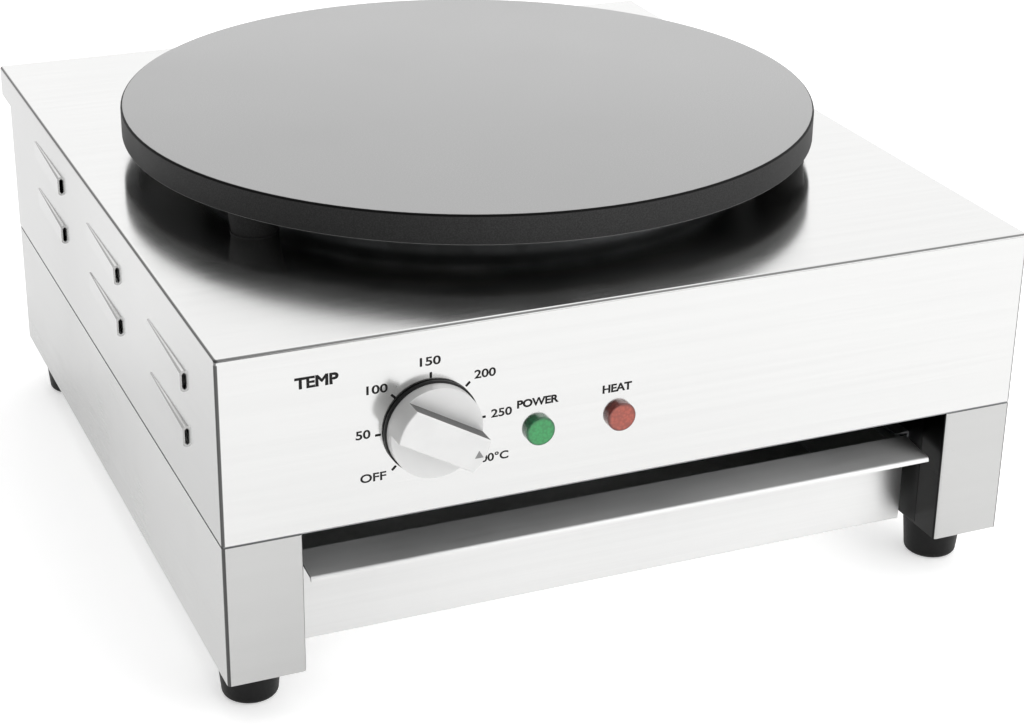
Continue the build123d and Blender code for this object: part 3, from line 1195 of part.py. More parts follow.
# ---------------------------------------------------------------------------
# Casing and rear panel fasteners
# ---------------------------------------------------------------------------

casing_screw = pan_screw(M4_RADIUS, CASING_SCREW_LENGTH, M4_HEAD_RADIUS, M4_HEAD)
with BuildPart() as casing_screws:
    with Locations(*[facing_down(x, y, FLOOR_Z - SHEET) for x, y in CASING_SCREW_PLACES]):
        add(casing_screw)
casing_screws.part.label = "casing_screws"
export_step(casing_screws.part, "parts/casing_screws.step")

casing_nut = hex_nut(M4_NUT_FLATS, M4_NUT, M4_RADIUS)
with BuildPart() as casing_nuts:
    with Locations(*[(x, y, SEAM_Z + SHEET) for x, y in CASING_SCREW_PLACES]):
        add(casing_nut)
casing_nuts.part.label = "casing_nuts"
export_step(casing_nuts.part, "parts/casing_nuts.step")

REAR_SCREW_PLACES = [
    (side * REAR_SCREW_X, z) for side in (LEFT, RIGHT) for z in REAR_SCREW_UPPER_Z + REAR_SCREW_LOWER_Z
]
rear_screw = pan_screw(M4_RADIUS, REAR_SCREW_LENGTH, M4_HEAD_RADIUS, M4_HEAD)
with BuildPart() as rear_panel_screws:
    with Locations(*[facing_back(x, PANEL_BACK_Y, z) for x, z in REAR_SCREW_PLACES]):
        add(rear_screw)
rear_panel_screws.part.label = "rear_panel_screws"
export_step(rear_panel_screws.part, "parts/rear_panel_screws.step")

# ---------------------------------------------------------------------------
# Internal wiring and the thermostat's capillary
# ---------------------------------------------------------------------------


def lead(points, bend_radius, radius=WIRE_RADIUS):
    """Insulated wire or tube along straight runs joined by arcs."""
    with BuildPart() as wire:
        with BuildLine() as route:
            FilletPolyline(*points, radius=bend_radius)
        with BuildSketch(Plane(origin=route.wire() @ 0, z_dir=route.wire() % 0)):
            Circle(radius)
        sweep(path=route.wire())
    return wire.part


WIRE_BEND = 8.0
WIRE_Z = SEAM_Z + 2 * FLANGE  # height at which the long wires cross the floor
PIN_END_Z = ELEMENT_Z - LEAD_DROP - PIN_LENGTH
BLADE_END_Y = THERMOSTAT_BACK_Y + BLADE_LENGTH
BLADE_XS = (KNOB_X - THERMOSTAT_WIDTH / 4, KNOB_X + THERMOSTAT_WIDTH / 4)
BLADE_LOW_Z = KNOB_Z - THERMOSTAT_HEIGHT / 4
BLADE_HIGH_Z = KNOB_Z + THERMOSTAT_HEIGHT / 4
TERMINAL_FRONT_Y = TERMINAL_Y - TERMINAL_DEPTH / 2
OUTER_PINS = [plate_circle(LEAD_CIRCLE, angle) for angle in (-90 + OUTER_LEAD_ANGLE, 270 - OUTER_LEAD_ANGLE)]
INNER_PINS = [plate_circle(LEAD_CIRCLE, angle) for angle in (-90 + INNER_LEAD_ANGLE, 270 - INNER_LEAD_ANGLE)]
TOUCH = 0.1  # bare ends stop this far from what they are crimped to
LINK_OVERRUN = 1.25  # link wires stop short of the outer pins' leads, as a share of their X

wire_supply_live = lead(
    [
        (POLE_XS[0], TERMINAL_FRONT_Y - TOUCH, POLE_Z),
        (POLE_XS[0], TERMINAL_FRONT_Y - FLANGE * 2, POLE_Z),
        (POLE_XS[0] - 2 * FLANGE, TERMINAL_FRONT_Y - FLANGE * 4, WIRE_Z - FLANGE),
        (BLADE_XS[1] + FLANGE, BLADE_END_Y + 4 * FLANGE, WIRE_Z - FLANGE),
        (BLADE_XS[1], BLADE_END_Y + 2 * FLANGE, BLADE_LOW_Z),
        (BLADE_XS[1], BLADE_END_Y + TOUCH, BLADE_LOW_Z),
    ],
    WIRE_BEND,
)
wire_supply_live.label = "wire_supply_live"
export_step(wire_supply_live, "parts/wire_supply_live.step")

wire_switched_live = lead(
    [
        (BLADE_XS[0], BLADE_END_Y + TOUCH, BLADE_LOW_Z),
        (BLADE_XS[0], BLADE_END_Y + 3 * FLANGE, BLADE_LOW_Z),
        (BLADE_XS[1], BLADE_END_Y + 6 * FLANGE, WIRE_Z),
        (OUTER_PINS[1][0], OUTER_PINS[1][1], WIRE_Z),
        (OUTER_PINS[1][0], OUTER_PINS[1][1], PIN_END_Z - TOUCH),
    ],
    WIRE_BEND,
)
wire_switched_live.label = "wire_switched_live"
export_step(wire_switched_live, "parts/wire_switched_live.step")

wire_neutral = lead(
    [
        (POLE_XS[1], TERMINAL_FRONT_Y - TOUCH, POLE_Z),
        (POLE_XS[1], TERMINAL_FRONT_Y - FLANGE * 3, POLE_Z),
        (OUTER_PINS[0][0] + 3 * FLANGE, OUTER_PINS[0][1] + FLANGE, WIRE_Z),
        (OUTER_PINS[0][0], OUTER_PINS[0][1], WIRE_Z),
        (OUTER_PINS[0][0], OUTER_PINS[0][1], PIN_END_Z - TOUCH),
    ],
    WIRE_BEND,
)
wire_neutral.label = "wire_neutral"
export_step(wire_neutral, "parts/wire_neutral.step")

wire_earth = lead(
    [
        (POLE_XS[2], TERMINAL_Y + TERMINAL_DEPTH / 2 + TOUCH, POLE_Z),
        (POLE_XS[2], TERMINAL_Y + TERMINAL_DEPTH / 2 + FLANGE, POLE_Z),
        (STUD_X, TERMINAL_Y + TERMINAL_DEPTH / 2 + 1.4 * FLANGE, STUD_HEIGHT),
        (STUD_X, BACK_Y - STUD_INSIDE - TOUCH, STUD_HEIGHT),
    ],
    WIRE_BEND / 2,
)
wire_earth.label = "wire_earth"
export_step(wire_earth, "parts/wire_earth.step")

with BuildPart() as element_links:
    for outer_pin, inner_pin in zip(OUTER_PINS, INNER_PINS):
        with BuildLine() as link_route:
            FilletPolyline(
                (*inner_pin, PIN_END_Z - TOUCH),
                (*inner_pin, PIN_END_Z - FLANGE),
                (outer_pin[0] * LINK_OVERRUN, outer_pin[1], PIN_END_Z - FLANGE),
                radius=WIRE_BEND / 2,
            )
        with BuildSketch(Plane(origin=link_route.wire() @ 0, z_dir=link_route.wire() % 0)):
            Circle(WIRE_RADIUS)
        sweep(path=link_route.wire())
element_links.part.label = "element_link_wires"
export_step(element_links.part, "parts/element_link_wires.step")

THERMOSTAT_TOP_Z = KNOB_Z + THERMOSTAT_HEIGHT / 2
CAPILLARY_Y = INNER_FRONT_Y + THERMOSTAT_DEPTH / 2
BULB_X = -WIRING_BORE / 2
BULB_Y = PLATE_Y + CUTOUT_FROM_AXIS
BULB_Z = PLATE_UNDER_Z - BULB_RADIUS
with BuildPart() as thermostat_capillary:
    with BuildLine() as capillary_route:
        FilletPolyline(
            (KNOB_X, CAPILLARY_Y, THERMOSTAT_TOP_Z),
            (KNOB_X, CAPILLARY_Y, THERMOSTAT_TOP_Z + FLANGE / 2),
            (KNOB_X + 2 * FLANGE, CAPILLARY_Y + 3 * FLANGE, THERMOSTAT_TOP_Z + FLANGE / 2),
            (BULB_X, PLATE_Y, THERMOSTAT_TOP_Z + FLANGE / 2),
            (BULB_X, PLATE_Y, BULB_Z),
            (BULB_X, BULB_Y, BULB_Z),
            radius=WIRE_BEND / 2,
        )
    with BuildSketch(Plane(origin=capillary_route.wire() @ 0, z_dir=capillary_route.wire() % 0)):
        Circle(CAPILLARY_RADIUS)
    sweep(path=capillary_route.wire())
    with BuildSketch(facing_back(BULB_X, BULB_Y, BULB_Z)):
        Circle(BULB_RADIUS)
    extrude(amount=BULB_LENGTH)
thermostat_capillary.part.label = "thermostat_capillary"
export_step(thermostat_capillary.part, "parts/thermostat_capillary.step")
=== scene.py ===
"""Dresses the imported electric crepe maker: finishes, printed panel, light, floor and camera."""

from __future__ import annotations

import logging
import math
from dataclasses import dataclass
from enum import Enum
from typing import Protocol

import bpy
from mathutils import Matrix, Vector


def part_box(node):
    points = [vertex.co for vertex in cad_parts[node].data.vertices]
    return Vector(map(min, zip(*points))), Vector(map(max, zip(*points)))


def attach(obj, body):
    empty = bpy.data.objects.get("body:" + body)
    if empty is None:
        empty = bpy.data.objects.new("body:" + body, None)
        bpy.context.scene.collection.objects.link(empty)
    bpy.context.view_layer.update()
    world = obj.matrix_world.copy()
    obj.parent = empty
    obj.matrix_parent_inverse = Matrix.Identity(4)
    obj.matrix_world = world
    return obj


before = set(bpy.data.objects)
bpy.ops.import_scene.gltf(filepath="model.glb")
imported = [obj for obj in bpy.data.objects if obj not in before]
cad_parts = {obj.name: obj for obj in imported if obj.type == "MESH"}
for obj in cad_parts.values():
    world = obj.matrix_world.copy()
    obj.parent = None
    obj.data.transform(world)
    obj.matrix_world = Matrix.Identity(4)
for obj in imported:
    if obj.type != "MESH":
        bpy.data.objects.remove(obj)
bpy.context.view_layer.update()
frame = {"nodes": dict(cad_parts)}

LOG = logging.getLogger("crepe_maker")
MM = 0.001

Socket = bpy.types.NodeSocket
Place = tuple[float, float, float]
Colour = tuple[float, float, float]
Span = tuple[float, float]
Relief = tuple[float, float]  # depth of a bump in metres, and its strength
Value = Socket | float | Colour

WHITE: Colour = (1.0, 1.0, 1.0)
WHOLE: Span = (0.0, 1.0)
MIDDLE: Span = (0.35, 0.65)  # most values of a noise pattern lie in this span
WIDE: Span = (0.3, 0.7)  # almost all of them lie in this one
INK = 0.04 * MM  # how far a print stands proud of its surface


class Grain(Enum):
    """Direction in which a sheet was brushed, with the pattern's stretch per axis."""

    ALONG_X = (0.012, 1.0, 1.0)
    ALONG_Y = (1.0, 0.012, 1.0)


# ---------------------------------------------------------------------------
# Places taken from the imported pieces
# ---------------------------------------------------------------------------


@dataclass(frozen=True)
class Body:
    """Main planes of the folded body, in metres from the frame's origin."""

    half_width: float
    bay_half: float
    front: float
    top: float

    @classmethod
    def measure(cls) -> Body:
        """Reads the planes from the left side frame and the casing.

        Returns:
            The planes.
        """
        frame_low, frame_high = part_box("left_side_frame")
        casing_low, casing_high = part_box("upper_casing")
        return cls(-frame_low.x, -frame_high.x, casing_low.y, casing_high.z)


@dataclass(frozen=True)
class Disc:
    """A round piece that faces the front: its middle and its radius, in metres."""

    x: float
    z: float
    radius: float

    @classmethod
    def of(cls, node: str) -> Disc:
        """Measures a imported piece.

        Args:
            node: the piece's name.

        Returns:
            Its disc.
        """
        low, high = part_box(node)
        return cls((low.x + high.x) / 2, (low.z + high.z) / 2, (high.x - low.x) / 2)


BODY = Body.measure()
DIAL = Disc.of("knob_base")
POWER_LAMP = Disc.of("power_lamp_lens")
HEAT_LAMP = Disc.of("heat_lamp_lens")
KNOB_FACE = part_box("knob_cap")[0].y


# ---------------------------------------------------------------------------
# Shader building
# ---------------------------------------------------------------------------


@dataclass(frozen=True)
class Pattern:
    """A noise pattern: its grains per metre and its octaves."""

    scale: float
    detail: float


def solid(value: Value) -> Value | tuple[float, ...]:
    """Gives a colour triple its alpha and leaves anything else alone."""
    return (*value, 1.0) if isinstance(value, tuple) and len(value) == 3 else value


def shade(colour: Colour, factor: float) -> Colour:
    """Makes a colour lighter or darker, and never lighter than white."""
    return tuple(min(1.0, part * factor) for part in colour)


def around(middle: float, change: Span) -> Span:
    """Gives the span from the lower to the higher change of a value."""
    return middle + change[0], middle + change[1]


class Graph:
    """A node tree, built a node at a time."""

    def __init__(self, tree: bpy.types.NodeTree) -> None:
        """Takes a tree over.

        Args:
            tree: the nodes of a material or of the world.
        """
        self.tree = tree
        self.place = tree.nodes.new("ShaderNodeTexCoord")

    def put(self, socket: Socket, value: Value) -> None:
        """Links an input to an output, or sets its own value.

        Args:
            socket: the input.
            value: an output socket, a number or a tuple.
        """
        if isinstance(value, Socket):
            self.tree.links.new(value, socket)
        else:
            socket.default_value = value

    def add(self, kind: str, settings: dict[str, str] | None = None, **inputs: Value) -> bpy.types.Node:
        """Adds a node.

        Args:
            kind: the node's type.
            settings: attributes of the node itself.
            inputs: values or sockets for its named inputs, with underscores for spaces.

        Returns:
            The new node.
        """
        node = self.tree.nodes.new(kind)
        for key, value in (settings or {}).items():
            setattr(node, key, value)
        for key, value in inputs.items():
            self.put(node.inputs[key.replace("_", " ")], value)
        return node

    def math(self, operation: str, *values: Value) -> Socket:
        """Adds one arithmetic step.

        Args:
            operation: Blender's name of the operation.
            values: what it works on, in its order.

        Returns:
            The result.
        """
        node = self.add("ShaderNodeMath", {"operation": operation})
        for socket, value in zip(node.inputs, values):
            self.put(socket, value)
        return node.outputs[0]

    def total(self, first: Value, second: Value) -> Socket:
        """Adds two values."""
        return self.math("ADD", first, second)

    def product(self, first: Value, second: Value) -> Socket:
        """Multiplies two values."""
        return self.math("MULTIPLY", first, second)

    def rest(self, share: Value) -> Socket:
        """Gives what a share leaves of 1."""
        return self.math("SUBTRACT", 1.0, share)

    def part(self, vector: Socket, axis: str) -> Socket:
        """Gives a vector's X, Y or Z."""
        return self.add("ShaderNodeSeparateXYZ", Vector=vector).outputs[axis]

    def ramp(self, value: Value, span: Span, result: Span = WHOLE) -> Socket:
        """Maps a value smoothly from one range to another.

        Args:
            value: the pattern or mask.
            span: the value's range.
            result: what the two ends of that range become.

        Returns:
            The mapped value.
        """
        node = self.add("ShaderNodeMapRange", {"interpolation_type": "SMOOTHSTEP"}, Value=value,
                        From_Min=span[0], From_Max=span[1], To_Min=result[0], To_Max=result[1])
        return node.outputs["Result"]


class Recipe(Graph):
    """The node material of one finish."""

    NOISE_ROUGHNESS = 0.55
    SIDEWAYS = (0.6, 0.8)  # X part of the normal, from none to all of the mask

    def __init__(self, name: str) -> None:
        """Starts the material.

        Args:
            name: the material's name.
        """
        self.material = bpy.data.materials.new(name)
        self.material.use_nodes = True
        super().__init__(self.material.node_tree)
        self.shader = self.tree.nodes["Principled BSDF"]
        self.spot = self.place.outputs["Object"]
        self.normal = self.place.outputs["Normal"]

    def paint(self, **inputs: Value) -> None:
        """Gives the shader's named inputs their values.

        Args:
            inputs: values or sockets, with underscores for the spaces in the names.
        """
        for key, value in inputs.items():
            self.put(self.shader.inputs[key.replace("_", " ")], solid(value))

    def where(self, axis: str) -> Socket:
        """Gives one of the piece's own coordinates, in metres."""
        return self.part(self.spot, axis)

    def facing(self, axis: str) -> Socket:
        """Gives one part of the surface's normal."""
        return self.part(self.normal, axis)

    def noise(self, pattern: Pattern, vector: Socket | None = None) -> Socket:
        """Adds a noise pattern.

        Args:
            pattern: its scale and octaves.
            vector: coordinates, the piece's own if left out.

        Returns:
            The pattern's value, about 0.5 on average.
        """
        node = self.add("ShaderNodeTexNoise", Vector=vector or self.spot, Scale=pattern.scale,
                        Detail=pattern.detail, Roughness=self.NOISE_ROUGHNESS)
        return node.outputs["Fac"]

    def brushed(self, pattern: Pattern, grain: Grain) -> Socket:
        """Adds a noise pattern that is drawn out along a sheet's grain.

        Args:
            pattern: its scale and octaves.
            grain: direction of the brushing.

        Returns:
            The pattern's value.
        """
        stretched = self.add("ShaderNodeMapping", Vector=self.spot, Scale=grain.value)
        return self.noise(pattern, stretched.outputs["Vector"])

    def choose(self, mask: Socket, first: Socket, second: Socket) -> Socket:
        """Takes one value where a mask is 0 and another where it is 1.

        Args:
            mask: the mask.
            first: value at 0.
            second: value at 1.

        Returns:
            The chosen value.
        """
        node = self.add("ShaderNodeMix", {"data_type": "FLOAT"})
        for number, value in ((0, mask), (2, first), (3, second)):
            self.put(node.inputs[number], value)
        return node.outputs[0]

    def blend(self, share: Value, first: Value, second: Value) -> Socket:
        """Mixes two colours.

        Args:
            share: how much of the second.
            first: colour or socket.
            second: colour or socket.

        Returns:
            The mixed colour.
        """
        node = self.add("ShaderNodeMix", {"data_type": "RGBA"},
                        Factor=share, A=solid(first), B=solid(second))
        return node.outputs["Result"]

    def scaled(self, colour: Value, factor: Value) -> Socket:
        """Makes a colour lighter or darker by a pattern.

        Args:
            colour: colour or socket.
            factor: the pattern.

        Returns:
            The changed colour.
        """
        node = self.add("ShaderNodeVectorMath", {"operation": "SCALE"}, Scale=factor)
        self.put(node.inputs[0], colour)
        return node.outputs[0]

    def relief(self, *layers: tuple[Socket, Relief]) -> None:
        """Stacks bump layers on the shader.

        Args:
            layers: each layer's height pattern and its relief.
        """
        below = None
        for height, (depth, strength) in layers:
            bump = self.add("ShaderNodeBump", Height=height, Distance=depth, Strength=strength)
            if below is not None:
                self.put(bump.inputs["Normal"], below)
            below = bump.outputs["Normal"]
        self.paint(Normal=below)

    def sideways(self) -> Socket:
        """Gives 1 on faces that look along X and 0 on the others."""
        return self.ramp(self.math("ABSOLUTE", self.facing("X")), self.SIDEWAYS)

    def tilt(self, rise: Span) -> Socket:
        """Gives 0 where the normal's vertical part is below a span, and 1 where it is above."""
        return self.ramp(self.facing("Z"), rise)


class SheetRecipe(Recipe):
    """A recipe that knows the folds, walls and ridges of the body's sheets."""

    FOLD_REACH = 3 * MM  # how far in from its corner a fold is looked for
    SLIVER = 0.02 * MM  # how far past the body's side a face still counts as the body's
    RIDGE_START = 0.1 * MM  # how far past it the louvres start
    RETURN_REACH = 1 * MM  # how deep in the leg its return is looked for
    FADE_REACH = 225 * MM  # how far before and behind the middle the walls' fading runs
    UPRIGHT_TURN = (0.999, 0.94)  # largest part of the normal, where a fold starts and is full
    UPPER_TURN = (0.97, 0.85)

    def reach(self) -> Socket:
        """Gives the distance from the body's middle plane."""
        return self.math("ABSOLUTE", self.where("X"))

    def folds(self, upper_share: float) -> Socket:
        """Gives 1 in the folds at the body's corners, and 0 on flat faces.

        Args:
            upper_share: the value in the folds along the top's edges.

        Returns:
            The mask.
        """
        parts = [self.math("ABSOLUTE", self.facing(axis)) for axis in "XYZ"]
        widest = self.math("MAXIMUM", self.math("MAXIMUM", parts[0], parts[1]), parts[2])
        reach = self.reach()
        within = self.math("LESS_THAN", reach, BODY.half_width + self.SLIVER)
        corner = self.math("GREATER_THAN", reach, BODY.half_width - self.FOLD_REACH)
        edge = self.math("GREATER_THAN", self.where("Z"), BODY.top - self.FOLD_REACH)
        upright = self.product(self.product(within, corner), self.rest(edge))
        upper = self.product(self.product(within, edge), upper_share)
        return self.total(self.product(self.ramp(widest, self.UPRIGHT_TURN), upright),
                          self.product(self.ramp(widest, self.UPPER_TURN), upper))

    def inner_returns(self) -> Socket:
        """Gives 1 on the legs' returns, which face the drawer bay, and 0 elsewhere."""
        near = self.math("LESS_THAN", self.reach(), BODY.bay_half + self.RETURN_REACH)
        return self.product(near, self.sideways())

    def rearward(self) -> Socket:
        """Gives 0 at the front of the body, rising to 1 at its rear."""
        return self.ramp(self.where("Y"), (-self.FADE_REACH, self.FADE_REACH))

    def drawn_ridges(self) -> Socket:
        """Gives 1 on what is drawn out of the side walls, and 0 on the walls themselves."""
        return self.math("GREATER_THAN", self.reach(), BODY.half_width + self.RIDGE_START)

    def comb(self, side: Socket, amount: float) -> None:
        """Stretches highlights across the brushing.

        Args:
            side: 1 on the faces brushed along Y, 0 on those brushed along X.
            amount: how strong the stretch is.
        """
        grain = self.add("ShaderNodeCombineXYZ", X=self.rest(side), Y=side)
        across = self.add("ShaderNodeVectorMath", {"operation": "CROSS_PRODUCT"})
        self.put(across.inputs[0], grain.outputs[0])
        self.put(across.inputs[1], self.normal)
        self.paint(Tangent=across.outputs[0], Anisotropic=amount)


# ---------------------------------------------------------------------------
# Finishes
# ---------------------------------------------------------------------------


class Finish(Protocol):
    """Anything that can build a material."""

    def material(self, name: str) -> bpy.types.Material:
        """Builds the node material under the given name."""


@dataclass(frozen=True)
class BrushedSheet:
    """Satin stainless sheet with a brushed grain, painted shade in its folds, on its legs' returns and drawn
    ridges and towards the rear of its side walls, and a painted tone of light or shade on its side walls.
    """

    colour: Colour
    roughness: float
    grain: Grain = Grain.ALONG_X
    side_grain: Grain = Grain.ALONG_Y
    lines: Pattern = Pattern(1500.0, 3.0)
    bands: Pattern = Pattern(240.0, 2.0)
    clouds: Pattern = Pattern(9.0, 3.0)
    waves: Pattern = Pattern(5.0, 2.0)
    line_relief: Relief = (0.00001, 0.04)
    wave_relief: Relief = (0.0006, 0.05)
    line_roughness: float = 0.015
    cloud_roughness: float = 0.02
    streak: float = 0.009
    stretch: float = 0.6
    # painted shade: the folds are darkened as if they reflected a dark surround
    painted_fold_shade: float = 0.15
    upper_fold: float = 0.75
    # painted shade (below 1) or painted light (above 1) on the side walls, for how light falls on them
    painted_side_shading: float = 0.7
    # painted shade: the side walls darken towards the rear
    painted_rear_shade: float = 0.66
    # painted shade: the legs' returns facing the drawer bay are darkened as if in shade
    painted_return_shade: float = 1.0
    # painted shade: the louvre ridges drawn out of the side walls are darkened slightly
    painted_ridge_shade: float = 0.93

    def strokes(self, recipe: SheetRecipe, side: Socket, pattern: Pattern) -> Socket:
        """Draws brush strokes along each face's own grain.

        Args:
            recipe: the material in the making.
            side: 1 on the side walls, 0 elsewhere.
            pattern: the strokes' noise.

        Returns:
            The strokes.
        """
        faces, walls = (recipe.brushed(pattern, grain) for grain in (self.grain, self.side_grain))
        return recipe.choose(side, faces, walls)

    def tone(self, recipe: SheetRecipe, side: Socket, lines: Socket) -> Socket:
        """Works out how light the sheet is at each spot, from brush streaks and from painted shade and light
        on its folds, walls, returns and ridges.

        Args:
            recipe: the material in the making.
            side: 1 on the side walls, 0 elsewhere.
            lines: the fine brush strokes.

        Returns:
            A factor for the sheet's colour.
        """
        bands = self.strokes(recipe, side, self.bands)
        streaks = recipe.total(recipe.ramp(lines, WIDE, (-self.streak, self.streak)),
                               recipe.ramp(bands, MIDDLE, (-self.streak, self.streak)))
        tone = recipe.total(streaks, 1.0)
        # painted shade and light: each mask scales the colour to stand in for how light falls there
        painted_shade_parts = (
            (recipe.folds(self.upper_fold), self.painted_fold_shade),
            (side, self.painted_side_shading),
            (recipe.inner_returns(), self.painted_return_shade),
            (recipe.product(side, recipe.rearward()), self.painted_rear_shade),
            (recipe.drawn_ridges(), self.painted_ridge_shade),
        )
        for mask, factor in painted_shade_parts:
            tone = recipe.product(tone, recipe.ramp(mask, WHOLE, (1.0, factor)))
        return tone

    def material(self, name: str) -> bpy.types.Material:
        """Builds the node material.

        Args:
            name: the material's name.

        Returns:
            The material.
        """
        recipe = SheetRecipe(name)
        side = recipe.sideways()
        lines = self.strokes(recipe, side, self.lines)
        cloudy = around(self.roughness, (-self.cloud_roughness, self.cloud_roughness))
        satin = recipe.ramp(recipe.noise(self.clouds), MIDDLE, cloudy)
        scratches = recipe.ramp(lines, WIDE, (-self.line_roughness, self.line_roughness))
        recipe.paint(
            Base_Color=recipe.scaled(self.colour, self.tone(recipe, side, lines)),
            Roughness=recipe.total(satin, scratches),
            Metallic=1.0,
        )
        recipe.relief((lines, self.line_relief), (recipe.noise(self.waves), self.wave_relief))
        recipe.comb(side, self.stretch)
        return recipe.material


@dataclass(frozen=True)
class Spangle:
    """Galvanised sheet with its crystal flowers."""

    colour: Colour = (0.36, 0.37, 0.38)
    roughness: float = 0.45
    rough_change: Span = (-0.1, 0.12)
    crystal_scale: float = 120.0
    warp: Pattern = Pattern(60.0, 3.0)
    warp_share: float = 0.3
    flower_span: Span = (0.1, 1.2)
    dull_tone: float = 0.8
    bumps: Relief = (0.0001, 0.15)

    def material(self, name: str) -> bpy.types.Material:
        """Builds the node material.

        Args:
            name: the material's name.

        Returns:
            The material.
        """
        recipe = Recipe(name)
        warp = recipe.noise(self.warp)
        cells = recipe.add("ShaderNodeTexVoronoi", Vector=recipe.spot, Scale=self.crystal_scale)
        facet = recipe.add("ShaderNodeSeparateColor", Color=cells.outputs["Color"]).outputs["Red"]
        flower = recipe.total(facet, recipe.product(warp, self.warp_share))
        dull = shade(self.colour, self.dull_tone)
        recipe.paint(
            Base_Color=recipe.blend(recipe.ramp(flower, self.flower_span), dull, self.colour),
            Roughness=recipe.ramp(flower, self.flower_span, around(self.roughness, self.rough_change)),
            Metallic=1.0,
        )
        recipe.relief((warp, self.bumps))
        return recipe.material


@dataclass(frozen=True)
class CastPlate:
    """Ground cast-iron cooking surface with painted shade darkening it towards its front left, in a dark
    cast skin with painted shade along its upper corner and underside and a painted highlight along its lower
    corner.

    The spans named `rise` are vertical parts of the normal, from -1 below to 1 on top.
    """

    top: Colour = (0.3, 0.3, 0.3)
    rim: Colour = (0.036, 0.036, 0.036)
    # painted shade colour for the rim's upper corner and the plate's underside
    painted_shade_black: Colour = (0.004, 0.004, 0.004)
    # painted highlight colour for the rim's lower corner
    painted_highlight: Colour = (0.3, 0.3, 0.3)
    roughness: float = 0.34
    rim_roughness: float = 0.5
    patch_roughness: Span = (-0.04, 0.05)
    gloss: float = 0.8
    rim_gloss: float = 0.08
    grit: Pattern = Pattern(1400.0, 5.0)
    patches: Pattern = Pattern(14.0, 4.0)
    patch_tones: Span = (0.94, 1.05)
    speck_span: Span = (0.4, 0.75)
    speck_tone: float = 1.25
    skin_span: Span = (0.35, 0.7)
    skin_tone: float = 1.5
    # painted shade: the cooking surface darkens towards its front left and lightens towards the back
    painted_shade_slant: float = 0.6
    painted_shade_reach: float = 0.2
    painted_shade_tones: Span = (0.88, 1.1)
    top_rise: Span = (0.93, 0.995)
    corner_rise: Span = (0.1, 0.45)
    underside_rise: Span = (-0.98, -0.9)
    # band of the rim's lower corner that gets the painted highlight
    highlight_start_rise: Span = (-0.9, -0.7)
    highlight_end_rise: Span = (-0.5, -0.25)
    bumps: Relief = (0.00002, 0.12)

    def ground_top(self, recipe: Recipe, grit: Socket, patches: Socket) -> Socket:
        """Colours the ground cooking surface.

        Args:
            recipe: the material in the making.
            grit: fine grain.
            patches: broad patches.

        Returns:
            The colour.
        """
        darker, lighter = (shade(self.top, tone) for tone in self.patch_tones)
        ground = recipe.blend(recipe.ramp(patches, MIDDLE), darker, lighter)
        speckled = recipe.blend(recipe.ramp(grit, self.speck_span), ground, shade(self.top, self.speck_tone))
        # painted shade gradient across the cooking surface, by place on the plate
        drift = recipe.total(recipe.product(recipe.where("X"), self.painted_shade_slant), recipe.where("Y"))
        painted_shade_gradient = recipe.ramp(drift, (-self.painted_shade_reach, self.painted_shade_reach), self.painted_shade_tones)
        return recipe.scaled(speckled, painted_shade_gradient)

    def cast_skin(self, recipe: Recipe, grit: Socket, up: Socket) -> Socket:
        """Colours the rim, with painted shade along its upper corner and on the underside, and a painted
        highlight along the lower corner.

        Args:
            recipe: the material in the making.
            grit: fine grain.
            up: 1 on the cooking surface.

        Returns:
            The colour.
        """
        corner = recipe.product(recipe.tilt(self.corner_rise), recipe.rest(up))
        below = recipe.rest(recipe.tilt(self.underside_rise))
        highlight_band = recipe.product(recipe.tilt(self.highlight_start_rise),
                                      recipe.rest(recipe.tilt(self.highlight_end_rise)))
        cast = recipe.blend(recipe.ramp(grit, self.skin_span), self.rim, shade(self.rim, self.skin_tone))
        # painted shade: the rim's upper corner and the underside turn near black
        shaded_skin = recipe.blend(recipe.math("MAXIMUM", corner, below), cast, self.painted_shade_black)
        # painted highlight along the rim's lower corner
        return recipe.blend(highlight_band, shaded_skin, self.painted_highlight)

    def material(self, name: str) -> bpy.types.Material:
        """Builds the node material.

        Args:
            name: the material's name.

        Returns:
            The material.
        """
        recipe = Recipe(name)
        grit = recipe.noise(self.grit)
        patches = recipe.noise(self.patches)
        up = recipe.tilt(self.top_rise)
        skin = self.cast_skin(recipe, grit, up)
        satin = recipe.ramp(patches, WIDE, self.patch_roughness)
        recipe.paint(
            Base_Color=recipe.blend(up, skin, self.ground_top(recipe, grit, patches)),
            Roughness=recipe.total(satin, recipe.ramp(up, WHOLE, (self.rim_roughness, self.roughness))),
            Specular_IOR_Level=recipe.ramp(up, WHOLE, (self.rim_gloss, self.gloss)),
        )
        recipe.relief((grit, self.bumps))
        return recipe.material


@dataclass(frozen=True)
class TurnedMetal:
    """Machined, drawn or plated metal with fine marks."""

    colour: Colour
    roughness: float
    rough_change: Span = (-0.05, 0.08)
    marks: Pattern = Pattern(900.0, 3.0)
    patches: Pattern = Pattern(75.0, 3.0)
    dull_tone: float = 0.88
    bumps: Relief = (0.00003, 0.25)

    def material(self, name: str) -> bpy.types.Material:
        """Builds the node material.

        Args:
            name: the material's name.

        Returns:
            The material.
        """
        recipe = Recipe(name)
        marks = recipe.noise(self.marks)
        patches = recipe.ramp(recipe.noise(self.patches), MIDDLE)
        recipe.paint(
            Base_Color=recipe.blend(patches, shade(self.colour, self.dull_tone), self.colour),
            Roughness=recipe.ramp(marks, WIDE, around(self.roughness, self.rough_change)),
            Metallic=1.0,
        )
        recipe.relief((marks, self.bumps))
        return recipe.material


